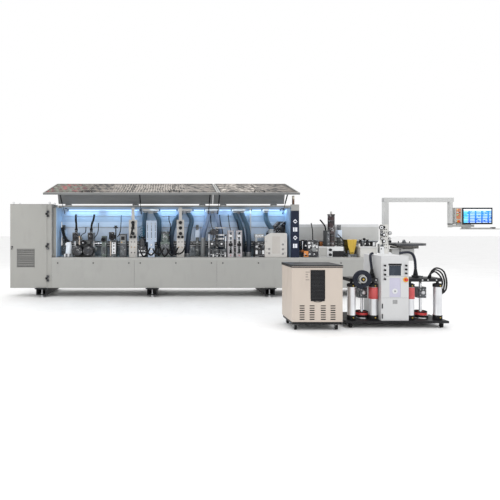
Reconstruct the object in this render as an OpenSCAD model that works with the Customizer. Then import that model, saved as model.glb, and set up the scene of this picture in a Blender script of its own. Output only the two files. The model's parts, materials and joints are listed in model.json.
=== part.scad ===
// Edge banding machine: bed, enclosure with two lift-up hoods, working units,
// panel conveyor, control mast, and the glue melter cart and chiller beside it.
// X runs along the panel path, Y = 0 is the plane of the panel edge being worked.

/* [Bed] */
// Length of the open infeed part of the bed, beyond the enclosure
infeed_l = 1532; // [1520:2:2400]
// Depth from the panel edge plane to the front apron
bed_front = 450; // [440:5:560]
// Depth from the panel edge plane to the rear of the bed
bed_rear = 500; // [400:5:700]
// Height of the bed above its feet
bed_h = 564; // [460:2:720]
// Height of the feet
foot_h = 170; // [140:2:240]
// Length of each foot beam, across the machine
foot_l = 1070; // [1000:5:1300]
// Width of each foot beam
foot_w = 240; // [200:2:300]
// Diameter of the anchor holes in the foot beams
anchor_d = 18; // [12:1:24]
// Thickness of the front apron panels
apron_t = 3; // [2:0.5:5]
// Number of apron panels
apron_count = 4; // [3:1:8]

/* [Enclosure] */
// Length of the hooded part
enclosure_l = 4578; // [4570:2:5600]
// Height of the hooded opening above the deck
opening_h = 932; // [900:2:1200]
// Height of the header beam
header_h = 54; // [40:1:80]
// Depth of the header beam
header_d = 78; // [60:1:120]
// Diameter of the hood hinge pins
hinge_pin_d = 12; // [8:0.5:16]
// Radial clearance in the hood hinges
hinge_gap = 0.05; // [0.02:0.01:0.1]
// Depth of the hood roof plate
hood_roof = 420; // [400:2:440]
// Height of the hood front plate
hood_front = 948; // [860:2:960]
// Angle between roof plate and front plate
hood_angle = 85; // [84:0.5:90]
// How far the hoods stand open
hood_open = 70; // [60:1:75]
// Thickness of the hood sheet
hood_t = 4; // [3:0.5:6]
// Place of the split between the two hoods
hood_split = 3025; // [3015:1:3035]
// Diameter of the gas strut rods
strut_rod_d = 10; // [8:0.5:12]
// Diameter of the gas strut cylinders
strut_tube_d = 24; // [22:0.5:28]
// Length of the gas strut cylinders
strut_tube_l = 325; // [300:1:335]

/* [Panel path] */
// Height of the panel path above the deck
path_h = 216; // [200:1:260]
// Diameter of the pressure rollers
roller_d = 60; // [50:1:62]
// Distance between pressure rollers
roller_pitch = 100; // [80:1:140]
// Gap between the chain pads and the rollers at rest
panel_gap = 30; // [25:1:60]
// Height of the pressure beam
beam_h = 327; // [280:1:330]
// Width of the square lifting posts
post_w = 50; // [40:1:54]
// Clearance of the beam carriages on their posts
post_gap = 0.3; // [0.2:0.05:0.6]
// Diameter of the dust hoses
hose_d = 95; // [80:1:100]

/* [Electrical cabinet] */
// Width of the cabinet
cabinet_w = 772; // [700:2:900]
// Height of the cabinet above its foot
cabinet_h = 1554; // [1400:2:1600]
// Sheet thickness of the cabinet
cabinet_t = 4; // [2:0.5:6]
// Width of the frame strip beside the door hinges
hinge_strip = 82; // [70:1:110]

/* [Units] */
// Diameter of the press roller
press_d = 150; // [120:1:160]
// Diameter of the press roller shaft
press_shaft_d = 30; // [20:1:40]
// Radial clearance of the turning shafts
shaft_gap = 0.05; // [0.02:0.01:0.1]
// Diameter of the glue roller
glue_roller_d = 70; // [50:1:78]
// Diameter of the glue roller shaft
glue_shaft_d = 24; // [16:1:30]
// Diameter of the joint cutters
cutter_d = 70; // [50:1:78]
// Diameter of the cutter spindles
spindle_d = 24; // [16:1:30]
// Diameter of the buffing wheels
buff_d = 140; // [110:1:146]
// Diameter of the buffing wheel shafts
buff_shaft_d = 20; // [14:1:24]
// Slope of the end trimming guides from the upright
guide_slope = 45; // [40:1:50]

/* [Control mast] */
// Height of the mast to the top of its boom
mast_top = 1891; // [1700:1:2100]
// Width of the square mast tube
mast_w = 95; // [80:1:110]
// Reach of the boom
boom_l = 1404; // [1200:2:1700]
// Height of the boom
boom_h = 85; // [70:1:100]
// Diameter of the swivel pins
swivel_d = 40; // [30:1:50]
// Radial clearance of the swivels
swivel_gap = 0.05; // [0.02:0.01:0.1]
// Width of the control panel
panel_w = 759; // [700:1:900]
// Height of the control panel
panel_h = 335; // [300:1:360]
// Thickness of the control panel
panel_t = 75; // [60:1:90]

/* [Edging coil] */
// Radius of the coil tray
tray_r = 370; // [300:1:372]
// Diameter of the tray spindle
tray_pin_d = 40; // [30:1:50]

/* [Melter cart and chiller] */
// Width of the melter cart
cart_w = 1310; // [1300:2:1500]
// Depth of the melter cart
cart_d = 600; // [540:2:700]
// Distance from the panel edge plane to the front of the cart
cart_front = 2933; // [2700:1:3040]
// Height of the melter cabinet
melter_h = 825; // [760:1:900]
// Diameter of the lifting cylinders
lift_d = 124; // [100:1:130]
// Diameter of the platen rods
ram_d = 36; // [28:1:44]
// Radial clearance of the platen rods
ram_gap = 0.05; // [0.02:0.01:0.1]
// Width of the chiller
chiller_w = 632; // [560:2:680]
// Height of the chiller housing
chiller_h = 678; // [600:2:760]
// Depth of the chiller
chiller_d = 480; // [400:2:560]
// Distance from the panel edge plane to the front of the chiller
chiller_front = 3056; // [3050:1:3300]

/* [Hidden] */
$fn = 48;

warm_grey = [0.80, 0.80, 0.77];
pale_grey = [0.86, 0.86, 0.85];
mid_grey = [0.55, 0.56, 0.57];
dark_grey = [0.24, 0.25, 0.26];
near_black = [0.10, 0.10, 0.11];
navy = [0.10, 0.12, 0.20];
steel = [0.72, 0.74, 0.76];
cream = [0.88, 0.84, 0.77];
red = [0.75, 0.10, 0.10];

// Levels
deck_z = foot_h + bed_h;
path_z = deck_z + path_h;
header_z = deck_z + opening_h;
header_top = header_z + header_h;
seam = 4;
rest_gap = 0.3;
eps = 1;

// Bed. The gluing stations stand from the enclosure's end, and what carries the edging
// and the controls stands from the bed's end, at the places drawn for these two lengths.
bed_l = enclosure_l + infeed_l;
drawn_enclosure = 4578;
drawn_bed = 6110;
bed_wall = 12;
deck_t = 20;
bay_count = 8;
apron_y = -bed_front + apron_t;
foot_x = [-187, 1858, 4033, bed_l - 56];
foot_y = -480;
foot_plate_t = 20;
foot_web_t = 15;
foot_web_x = 85;
pad_h = 40;
pad_d = 96;
bolt_d = 24;

// Enclosure
back_y = 16;
back_t = 3;
header_y = back_y + back_t;
wall_t = 10;
left_wall_x = 60;
right_wall_x = enclosure_l - 148;
wall_front = -368;
wall_rear = -10;
beam_clear_z = path_z + panel_gap + 45 + beam_h + 48;
axis_y = 20;
axis_z = header_top + 15;
ear_w = 20;
knuckle_w = 80;
knuckle_d = hinge_pin_d + 12;
hood_start = 16;
left_hood_x = [8, hood_split - 5];
right_hood_x = [hood_split + 5, right_wall_x - 12];
left_hinges = [200, 1514, hood_split - 205];
right_hinges = [hood_split + 205, right_wall_x - 212];

// Windows, in each hood's own plane: distance from the bend and length
window_top = 60;
window_bottom = 70;
window_t = 3;
window_bond = 0.05; // the line of adhesive behind each pane
window_side = 40;
left_panes = 4;
right_panes = 2;
pane_gap = 36;

// Gas struts, in Y and Z: the frame pivot, and the pivot on the open hood
strut_foot = [-120, header_z - 106];
strut_head = [-544, axis_z + 229];
strut_len = norm(strut_head - strut_foot);
strut_slope = atan2(strut_head[1] - strut_foot[1], strut_head[0] - strut_foot[0]);
strut_in = 24;
strut_eye_d = 22;
strut_eye_w = 10;
strut_pin_d = 8;
left_struts = [158, 1630, hood_split - 96];
right_struts = [hood_split + 79, right_wall_x - 74];
bracket_t = 8;

// Panel path
track_x = [170, bed_l];
track_y = [60, 200];
pad_t = 20;
pad_pitch = 60;
beam_x = [70, bed_l + 172];
beam_y = [30, 230];
beam_z = path_z + panel_gap + 45;
beam_floor = beam_z + roller_d - 40;
beam_wall = 8;
post_x = [124, 2717, enclosure_l + 897];
post_y = -42;
carriage_z = [beam_z + 75, beam_z + 215];
carriage_w = post_w + 34;
sprocket_d = 150;
sprocket_shaft_d = 40;
sprocket_x = 80;
sprocket_z = path_z - sprocket_d / 2 - 4;

// Cabinet
cabinet_z = foot_h;
cabinet_y = [-bed_front + 10, -14];
door_t = 8;
door_z = [cabinet_z + 6, cabinet_z + cabinet_h - 6];
door_hinge = [-hinge_strip, -bed_front - 14];
door_pin_d = 10;
door_hinge_z = [door_z[0] + 172, cabinet_z + 771, door_z[1] - 175];
door_hinge_h = 115;
vent_x = [-cabinet_w + 130, -cabinet_w + 451];
vent_z = [cabinet_z + 389, cabinet_z + 722];
vent_slots = 8;

// Dust hoses, from the plenum down to the collar: points in X, Y and Z
hoses = [
    [[1706, -55, 1600], [1706, -55, 1560], [1695, -62, 1440], [1697, -75, 1305], [1700, -90, 1170],
        [1716, -100, 1030], [1740, -105, 910], [1762, -110, 830], [1780, -110, 770], [1780, -110, 752]],
    [[1913, -55, 1600], [1913, -55, 1560], [1974, -62, 1440], [1980, -75, 1300], [1978, -90, 1150],
        [1974, -100, 1000], [1995, -110, 930], [2010, -110, 885], [2010, -110, 868]],
    [[2397, -55, 1600], [2397, -55, 1560], [2300, -62, 1437], [2256, -75, 1300], [2226, -90, 1170],
        [2214, -100, 990], [2230, -105, 880], [2258, -110, 790], [2264, -110, 760], [2264, -110, 746]],
    [[2554, -55, 1600], [2554, -55, 1560], [2600, -62, 1470], [2604, -75, 1380], [2579, -85, 1291],
        [2555, -95, 1170], [2541, -105, 1050], [2525, -110, 900], [2518, -110, 800], [2518, -110, 775]],
    [[2934, -55, 1600], [2934, -55, 1560], [2910, -65, 1440], [2886, -80, 1352], [2850, -100, 1230],
        [2826, -110, 1120], [2826, -110, 1080]],
    [[3080, -55, 1600], [3080, -55, 1560], [3118, -65, 1440], [3140, -80, 1352], [3162, -95, 1200],
        [3176, -105, 1049], [3170, -110, 920], [3165, -110, 880], [3165, -110, 855]],
    [[3450, -55, 1600], [3450, -55, 1560], [3500, -62, 1440], [3539, -72, 1352], [3578, -85, 1200],
        [3596, -90, 1049], [3600, -95, 900], [3600, -95, 830], [3600, -95, 808]],
    [[3588, -55, 1600], [3588, -55, 1560], [3630, -80, 1440], [3660, -115, 1352], [3688, -165, 1200],
        [3692, -200, 1052], [3688, -215, 900], [3685, -215, 830], [3685, -215, 806]],
    [[4047, -55, 1600], [4047, -55, 1560], [4047, -75, 1480], [4050, -130, 1413], [4075, -200, 1335],
        [4108, -240, 1275], [4108, -240, 1242]]];
hose_sides = 10;
hood_collar = hoses[8][6];
duct_z = [1600, 1648];
duct_y = -108;
duct_x = [[1652, 1966], [2344, 2608], [2880, 3134], [3396, 3642], [3994, 4100]];
spigot_d = 120;
spigot_l = 60;
spigot_z = 1582;

// Control mast
mast_x = 6496;
mast_y = 250;
mast_axis = [mast_x + mast_w / 2, mast_y + mast_w / 2];
boom_z = mast_top - boom_h;
drop_axis = [mast_x + boom_l - mast_w / 2, mast_axis[1]];
drop_z = 1352;
panel_x = drop_axis[0] + 74;
panel_y = mast_axis[1] - panel_t / 2;
panel_z = 1355;
button_box_w = 146;
tray_out = 180;
tray_end = panel_x + panel_w + 10;
stop_at = [panel_x + 73, panel_z + 60];

// Melter cart and chiller
cart_x = 4440;
cart_y = -cart_front;
cart_z = [64, 93];
melter_x = [4893, 5245];
station_x = [4740, 5520];
lift_x = [[4548, 4832], [5308, 5668]];
drum_d = 190;
lift_cap_h = 36;
lift_y = cart_y + 110;
lift_top = 517;
bar_z = [586, 629];
ram_y = cart_y + 240;
coil_at = [4655, 624];
coil_d = [96, 256];
platen_z = [110, 134];
platen_d = 190;
drum_top = 204;
chiller_x = 3710;
chiller_y = -chiller_front;
chiller_z = 107;
wheel_d = 56;

// The whole object's box, so that the origin stands under its middle
x_min = -cabinet_w;
x_max = tray_end + bed_l - drawn_bed;
y_min = -chiller_front - 6;
y_max = foot_y + foot_l;
mid = [(x_min + x_max) / 2, (y_min + y_max) / 2];

// ---- shapes used throughout: each span is [from, to] ----
module placed() translate([-mid[0], -mid[1], 0]) children();
module at_stations() translate([enclosure_l - drawn_enclosure, 0, 0]) placed() children();
module at_bed_end() translate([bed_l - drawn_bed, 0, 0]) placed() children();
module box(x, y, z) translate([x[0], y[0], z[0]]) cube([x[1] - x[0], y[1] - y[0], z[1] - z[0]]);
module rod_x(x, y, z, d) translate([x[0], y, z]) rotate([0, 90, 0]) cylinder(h = x[1] - x[0], d = d);
module rod_y(x, y, z, d) translate([x, y[1], z]) rotate([90, 0, 0]) cylinder(h = y[1] - y[0], d = d);
module rod_z(x, y, z, d) translate([x, y, z[0]]) cylinder(h = z[1] - z[0], d = d);
module along_x(x) translate([x[0], 0, 0]) rotate([90, 0, 90]) linear_extrude(x[1] - x[0]) children();
function about(c, w) = [c - w / 2, c + w / 2];
function on_deck(z) = [deck_z + z[0], deck_z + z[1]];

// ---- a round tube swept along points by rings square to its route ----
function unit(v) = v / norm(v);
function heading(p, i) = unit(p[min(i + 1, len(p) - 1)] - p[max(i - 1, 0)]);
function tube_ring(c, t, r, n) = let (u = unit(cross(t, [0, 1, 0.001])), w = cross(t, u))
    [for (k = [0:n - 1]) c + r * (cos(360 * k / n) * u + sin(360 * k / n) * w)];
module tube(p, d, n) {
    rings = len(p);
    points = [for (i = [0:rings - 1]) each tube_ring(p[i], heading(p, i), d / 2, n)];
    sides = [for (i = [0:rings - 2], k = [0:n - 1])
        [i * n + k, (i + 1) * n + k, (i + 1) * n + (k + 1) % n, i * n + (k + 1) % n]];
    start = [for (k = [0:n - 1]) k];
    end = [for (k = [n - 1:-1:0]) (rings - 1) * n + k];
    polyhedron(points, concat([start, end], sides), convexity = 6);
}

// ---- bed ----
module bed_frame() color(warm_grey) placed() difference() {
    y = [apron_y, bed_rear];
    bay = (bed_l - bed_wall) / bay_count;
    box([0, bed_l], y, [foot_h, deck_z]);
    for (i = [0:bay_count - 1])
        box([bed_wall + i * bay, (i + 1) * bay], [y[0] + bed_wall, y[1] - bed_wall],
            [foot_h - eps, deck_z - deck_t]);
}

module lower_covers() color(pale_grey) placed() {
    w = bed_l / apron_count;
    for (i = [0:apron_count - 1])
        box([i * w + (i > 0 ? seam / 2 : 0), (i + 1) * w - (i < apron_count - 1 ? seam / 2 : 0)],
            [-bed_front, apron_y], [foot_h + 6, deck_z - 10]);
}

module support_feet() color(near_black) placed() for (x = foot_x) difference() {
    y = [foot_y, foot_y + foot_l];
    union() {
        box(about(x, foot_w), y, [foot_h - foot_plate_t, foot_h]);
        for (s = [-1, 1])
            box(about(x + s * foot_web_x, foot_web_t), y, [pad_h, foot_h - foot_plate_t]);
        box(about(x, 2 * foot_web_x - foot_web_t), y, [pad_h, pad_h + foot_web_t]);
    }
    for (e = [60, foot_l - 60]) rod_z(x, foot_y + e, [pad_h - eps, pad_h + foot_web_t + eps], bolt_d);
    for (s = [-1, 1], e = [20, foot_l - 20])
        rod_z(x + s * (foot_w / 2 - 14), foot_y + e,
            [foot_h - foot_plate_t - eps, foot_h + eps], anchor_d);
}

module levelling_bolts() color(steel) placed() for (x = foot_x, e = [60, foot_l - 60]) {
    rod_z(x, foot_y + e, [0, 14], pad_d);
    rod_z(x, foot_y + e, [14, pad_h - rest_gap], bolt_d + 20);
    rod_z(x, foot_y + e, [pad_h - rest_gap, foot_h - foot_plate_t - 12], bolt_d - 0.2);
    translate([x, foot_y + e, pad_h + foot_web_t + rest_gap]) cylinder(h = 20, d = 42, $fn = 6);
}

// ---- enclosure ----
module end_wall(x) {
    box(x, [wall_front, wall_rear], [deck_z, beam_clear_z]);
    box(x, [wall_front, header_y + header_d], [beam_clear_z, header_z]);
}

module uprights() color(pale_grey) placed() {
    end_wall([left_wall_x, left_wall_x + wall_t]);
    end_wall([right_wall_x, right_wall_x + wall_t]);
    // the plain post beside the end trimming unit
    box([3746, 3766], [-42, wall_rear], [deck_z, header_z]);
    box([3746, 3766], [wall_rear, back_y], [beam_clear_z, header_z]);
    // square lifting posts that carry the pressure beam
    for (x = post_x) {
        box(about(x, post_w), about(post_y, post_w), [deck_z, beam_clear_z - 60]);
        difference() {
            box(about(x, post_w + 40), [post_y - post_w / 2 - 20, wall_rear], [deck_z, deck_z + 16]);
            box(about(x, post_w), about(post_y, post_w), [deck_z - eps, deck_z + 20]);
        }
    }
}

module hinge_ears(at) for (x = at, s = [-1, 1]) {
    w = about(x + s * (knuckle_w + ear_w + 2 * rest_gap) / 2, ear_w);
    rod_x(w, axis_y, axis_z, knuckle_d);
    box(w, [axis_y, axis_y + 40], [header_top, axis_z + 4]);
}

module strut_bracket(x) {
    w = [x + strut_eye_w / 2 + rest_gap, x + strut_eye_w / 2 + rest_gap + bracket_t];
    box(w, [strut_foot[0] - 20, back_y], [header_z - 14, header_z]);
    box(w, [strut_foot[0] - 20, strut_foot[0] + 10], [strut_foot[1] - 20, header_z - 14]);
    rod_x([x - strut_eye_w / 2 - 4, w[0] + eps], strut_foot[0], strut_foot[1], strut_pin_d);
}

module back_wall() color(pale_grey) placed() {
    difference() {
        box([left_wall_x + wall_t, right_wall_x], [back_y, header_y], [beam_clear_z, header_z + 20]);
        for (d = duct_x) box(about((d[0] + d[1]) / 2, 92), [back_y - eps, header_y + eps],
            [duct_z[0] - 40, duct_z[1] + rest_gap]);
    }
    box([0, enclosure_l], [header_y, header_y + header_d], [header_z, header_top]);
    hinge_ears(left_hinges);
    hinge_ears(right_hinges);
    for (x = concat(left_hinges, right_hinges))
        rod_x(about(x, knuckle_w + 2 * ear_w + 2), axis_y, axis_z, hinge_pin_d);
    for (x = concat(left_struts, right_struts)) strut_bracket(x);
}

module corner_column() placed() {
    x = [right_wall_x, enclosure_l];
    y = [-bed_front, -bed_front + 50];
    color(navy) box(x, y, [deck_z, header_z - 66]);
    color(pale_grey) box(x, y, [header_z - 66, header_z + 34]);
    // tie back to the end wall and the header
    color(pale_grey) box([x[0] + wall_t + 2, x[1]], [y[1], header_y], [header_z - 40, header_z]);
    color(pale_grey) box([x[0] + wall_t + 2, x[1]], [header_y, header_y + header_d],
        [header_z - 40, header_z]);
    color(pale_grey) box([x[0] + 16, x[1] - 16], [y[1], y[1] + 32], [deck_z, header_z - 40]);
}

light_x = [[200, 1600], [1990, 2320], [2640, 2870], [3144, 3384], [3780, 3980], [4110, right_wall_x - 90]];
module light_bars() color("white") placed() for (x = light_x)
    box(x, [back_y - 24, back_y], [header_z - 52, header_z - 22]);

module signal_tower() placed() {
    x = enclosure_l - 67;
    y = -300;
    color(near_black) rod_z(x, y, [header_z, header_z + 30], 60);
    color("goldenrod") rod_z(x, y, [header_z + 30, header_z + 150], 44);
    color([0.45, 0.30, 0.15]) rod_z(x, y, [header_z + 150, header_z + 221], 44);
}

// ---- cabinet ----
module cabinet_shell() color(warm_grey) placed() {
    x = [-cabinet_w, 0];
    z = [cabinet_z, cabinet_z + cabinet_h];
    difference() {
        box(x, cabinet_y, z);
        box([x[0] + cabinet_t, x[1] - cabinet_t], [cabinet_y[0] - eps, cabinet_y[1] - cabinet_t],
            [z[0] + cabinet_t, z[1] - cabinet_t]);
    }
    box([-hinge_strip + 2, -cabinet_t], [cabinet_y[0], cabinet_y[0] + cabinet_t],
        [z[0] + cabinet_t, z[1] - cabinet_t]);
    // mounting plate for the switchgear, on four pillars from the rear wall
    plate_y = cabinet_y[1] - cabinet_t - 60;
    box([x[0] + 60, x[1] - 120], [plate_y, plate_y + 3], [z[0] + 80, z[1] - 80]);
    for (px = [x[0] + 100, x[1] - 160], pz = [z[0] + 120, z[1] - 120])
        rod_y(px, [plate_y + 3, cabinet_y[1] - cabinet_t], pz, 16);
}

module cabinet_door() color(warm_grey) placed() {
    x = [-cabinet_w + 4, door_hinge[0] - 10];
    y = [cabinet_y[0] - rest_gap - door_t, cabinet_y[0] - rest_gap];
    slot = (vent_z[1] - vent_z[0]) / vent_slots;
    difference() {
        box(x, y, door_z);
        for (i = [0:vent_slots - 1])
            box(vent_x, [y[0] - eps, y[1] + eps],
                [vent_z[0] + (i + 0.3) * slot, vent_z[0] + (i + 0.7) * slot]);
    }
    // knuckles round the hinge pins
    for (z = door_hinge_z) {
        zk = about(z, door_hinge_h / 3);
        difference() {
            union() {
                rod_z(door_hinge[0], door_hinge[1], zk, 20);
                box([door_hinge[0] - 30, door_hinge[0]], [door_hinge[1] - 4, y[0]], zk);
            }
            rod_z(door_hinge[0], door_hinge[1], [zk[0] - eps, zk[1] + eps],
                door_pin_d + 2 * hinge_gap);
        }
    }
}

module cabinet_hinges() color(near_black) placed() for (z = door_hinge_z) {
    third = door_hinge_h / 3;
    rod_z(door_hinge[0], door_hinge[1], about(z, door_hinge_h), door_pin_d);
    for (s = [-1, 1]) {
        zk = about(z + s * (third + rest_gap), third);
        rod_z(door_hinge[0], door_hinge[1], zk, 20);
        box([door_hinge[0], door_hinge[0] + 30], [door_hinge[1] - 4, cabinet_y[0]], zk);
    }
}

// ---- panel path ----
module chain_track() color(steel) placed() difference() {
    union() {
        box(track_x, track_y, [deck_z, path_z - pad_t]);
        box([40, track_x[0]], [track_y[0], track_y[0] + 14], [deck_z, sprocket_z + 40]);
        box([40, track_x[0]], [track_y[1] - 14, track_y[1]], [deck_z, sprocket_z + 40]);
    }
    rod_y(sprocket_x, [track_y[0] - eps, track_y[1] + eps], sprocket_z,
        sprocket_shaft_d + 2 * shaft_gap);
    for (y = [100, 160]) box([track_x[0] - eps, track_x[1] + eps], about(y, 24),
        [path_z - pad_t - 8, path_z]);
}

module conveyor_chain() color(dark_grey) placed()
    for (x = [track_x[0] + 10:pad_pitch:track_x[1] - pad_pitch]) {
        box([x, x + pad_pitch - 3], [track_y[0] + 10, track_y[1] - 10], [path_z - pad_t, path_z]);
        for (y = [100, 160])
            box([x + 10, x + pad_pitch - 13], about(y, 22), [path_z - pad_t - 7, path_z - pad_t]);
    }

module drive_sprocket() color(steel) placed() {
    rod_y(sprocket_x, [track_y[0] - 18, track_y[1] + 60], sprocket_z, sprocket_shaft_d);
    for (y = [100, 160]) difference() {
        rod_y(sprocket_x, about(y, 14), sprocket_z, sprocket_d);
        for (a = [0:30:330]) translate([sprocket_x, y + 8, sprocket_z]) rotate([90, a, 0])
            translate([sprocket_d / 2 + 3, 0, 0]) cylinder(h = 16, d = 22, $fn = 24);
    }
}

module pressure_beam() color(mid_grey) placed() difference() {
    union() {
        box(beam_x, beam_y, [beam_z, beam_z + beam_h]);
        for (x = post_x) box(about(x, carriage_w), [post_y - carriage_w / 2, beam_y[0]], carriage_z);
        // rails that hold the roller axles
        for (y = [track_y[0] - 10, track_y[1] + 5]) box([beam_x[0] + 4, beam_x[1] - 4], [y, y + 5],
            [path_z + panel_gap + roller_d / 2 - 10, beam_z]);
    }
    box([beam_x[0] - eps, beam_x[1] + eps], [beam_y[0] + beam_wall, beam_y[1] - beam_wall],
        [beam_floor + beam_wall, beam_z + beam_h - beam_wall]);
    box([beam_x[0] - eps, beam_x[1] + eps], [track_y[0] - 5, track_y[1] + 5],
        [beam_z - eps, beam_floor]);
    for (x = post_x) box(about(x, post_w + 2 * post_gap), about(post_y, post_w + 2 * post_gap),
        [carriage_z[0] - eps, carriage_z[1] + eps]);
}

module pressure_rollers() color(near_black) placed()
    for (x = [beam_x[0] + 60:roller_pitch:beam_x[1] - 50]) {
        z = path_z + panel_gap + roller_d / 2;
        rod_y(x, [track_y[0], track_y[1]], z, roller_d);
        rod_y(x, [track_y[0] - 5, track_y[1] + 5], z, 16);
    }

// ---- working units, right to left along the panel path ----
premill_x = [5580, 5664];
cutter_z = [path_z - 36, path_z + 24];
module premill_unit() at_stations() {
    x = [5524, 5713];
    color(dark_grey) difference() {
        union() {
            box([x[0] + 10, x[1] - 10], [-330, -60], on_deck([0, 56]));
            for (c = premill_x) rod_z(c, -46, on_deck([0, 110]), 70);
        }
        for (c = premill_x) rod_z(c, -46, on_deck([20, 111]), spindle_d + 2 * shaft_gap);
    }
    // V-shaped chip funnel over the cutters
    color([0.72, 0.58, 0.30]) translate([0, -100, 0]) rotate([90, 0, 0]) linear_extrude(200)
        polygon([[x[0] + 60, deck_z + 56], [x[1] - 60, deck_z + 56], [x[1], deck_z + 327],
            [x[1] - 8, deck_z + 327], [x[1] - 66, deck_z + 68], [x[0] + 66, deck_z + 68],
            [x[0] + 8, deck_z + 327], [x[0], deck_z + 327]]);
}
module premill_cutter(x) {
    rod_z(x, -46, [deck_z + 20.3, cutter_z[1]], spindle_d);
    rod_z(x, -46, cutter_z, cutter_d);
}
module premill_cutter_1() color(steel) at_stations() premill_cutter(premill_x[0]);
module premill_cutter_2() color(steel) at_stations() premill_cutter(premill_x[1]);

glue_at = [5262, -200];
glue_roll = [5120, -46];
module glue_unit() at_stations() {
    // white cover box with a dark slot
    color(pale_grey) difference() {
        box([4962, 5427], [-380, -100], on_deck([0, 196]));
        box([5228, 5420], [-381, -340], on_deck([12, 112]));
    }
    color(near_black) for (z = [50, 140]) rod_y(5172, [-402, -380], deck_z + z, 44);
    color(dark_grey) box([5128, 5190], [-330, -150], on_deck([196, 500]));
    // hopper for the glue granulate, with its lid and knob
    color(near_black) {
        rod_z(glue_at[0], glue_at[1], on_deck([196, 790]), 128);
        rod_z(glue_at[0], glue_at[1], on_deck([790, 809]), 140);
        rod_z(glue_at[0], glue_at[1], on_deck([809, 859]), 36);
    }
    // bearing block of the glue roller
    color(steel) difference() {
        box([glue_roll[0] - 50, glue_roll[0] + 50], [-100, -6], on_deck([0, 120]));
        rod_z(glue_roll[0], glue_roll[1], on_deck([20, 121]), glue_shaft_d + 2 * shaft_gap);
    }
}
module glue_roller() color(steel) at_stations() {
    rod_z(glue_roll[0], glue_roll[1], on_deck([20.3, 180]), glue_shaft_d);
    rod_z(glue_roll[0], glue_roll[1], on_deck([180, 280]), glue_roller_d);
}

press_at = [4975, -press_d / 2 - 5];
small_rollers = [4690, 4765, 4840];
module press_roller_unit() at_stations() {
    color(near_black) {
        box([4670, 4950], [-400, -170], on_deck([0, 90]));
        box([4740, 4950], [-400, -170], on_deck([90, 300]));
        for (x = small_rollers) rod_z(x, -46, on_deck([120, 300]), 66);
    }
    color(pale_grey) for (x = [4760, 4840, 4906]) box([x, x + 34], [-404, -400], on_deck([170, 222]));
    color([0.78, 0.42, 0.22]) box([4660, 4730], [-330, -190], on_deck([90, 126]));
    color(mid_grey) {
        box([4667, press_at[0] - 50], [-168, -10], on_deck([0, 120]));
        difference() {
            box(about(press_at[0], 100), [-99.7, -10], on_deck([0, 196]));
            rod_z(press_at[0], press_at[1], on_deck([100, 197]), press_shaft_d + 2 * shaft_gap);
        }
    }
}
module press_roller() color(dark_grey) at_stations() {
    rod_z(press_at[0], press_at[1], on_deck([100.3, 260]), press_shaft_d);
    rod_z(press_at[0], press_at[1], on_deck([210, 260]), press_d);
}

// end trimming: two saws on guides that slope along the panel path
saw_d = 120;
guide_l = 300;
guide_x = [4178, 4310];
guide_z = deck_z + 560;
module guide_at(x) translate([x, 0, guide_z]) rotate([0, guide_slope, 0]) children();
module end_trim_frame() placed() {
    // cover with one chamfered corner and rows of fixing holes
    color(pale_grey) difference() {
        along_y([-400, -330]) polygon([[3953, deck_z], [4368, deck_z], [4368, deck_z + 440],
            [4340, deck_z + 453], [4060, deck_z + 453], [3953, deck_z + 390]]);
        for (x = [3990, 4330], z = [90, 160, 290]) rod_y(x, [-401, -380], deck_z + z, 18);
    }
    color(near_black) box([3770, 3950], [-400, -260], on_deck([0, 286]));
    color(mid_grey) box([3790, 3950], [-330, -200], on_deck([361, 434]));
    color(mid_grey) box([3790, 3830], [-330, -260], on_deck([286, 361]));
    color(mid_grey) box([4160, 4368], [-330, -60], on_deck([0, 400]));
    // hose collar on the cover
    color(mid_grey) rod_z(hood_collar[0], hood_collar[1], [deck_z + 400, hood_collar[2]], hose_d);
    color(mid_grey) box([4050, 4160], [-330, -130], on_deck([360, 400]));
    color(near_black) {
        for (x = guide_x) guide_at(x) translate([-14, -54, -guide_l / 2]) cube([28, 30, guide_l]);
        box([4062, right_wall_x - rest_gap], [-70, -14], on_deck([400, 440]));
        along_y([-24, -14]) polygon([[4062, deck_z + 440], [right_wall_x - rest_gap, deck_z + 440],
            [right_wall_x - rest_gap, deck_z + 670], [4290, deck_z + 670]]);
    }
}
module saw_carriage(x) guide_at(x) {
    translate([-20, -52 - 50, -40]) cube([40, 47.7, 80]);
    translate([0, -102, 0]) rotate([90, 0, 0]) cylinder(h = 60, d = 58);
}
module end_trim_saw_front() color(red) placed() saw_carriage(guide_x[1]);
module end_trim_saw_rear() color(red) placed() saw_carriage(guide_x[0]);
module along_y(y) translate([0, y[1], 0]) rotate([90, 0, 0]) linear_extrude(y[1] - y[0]) children();

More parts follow.
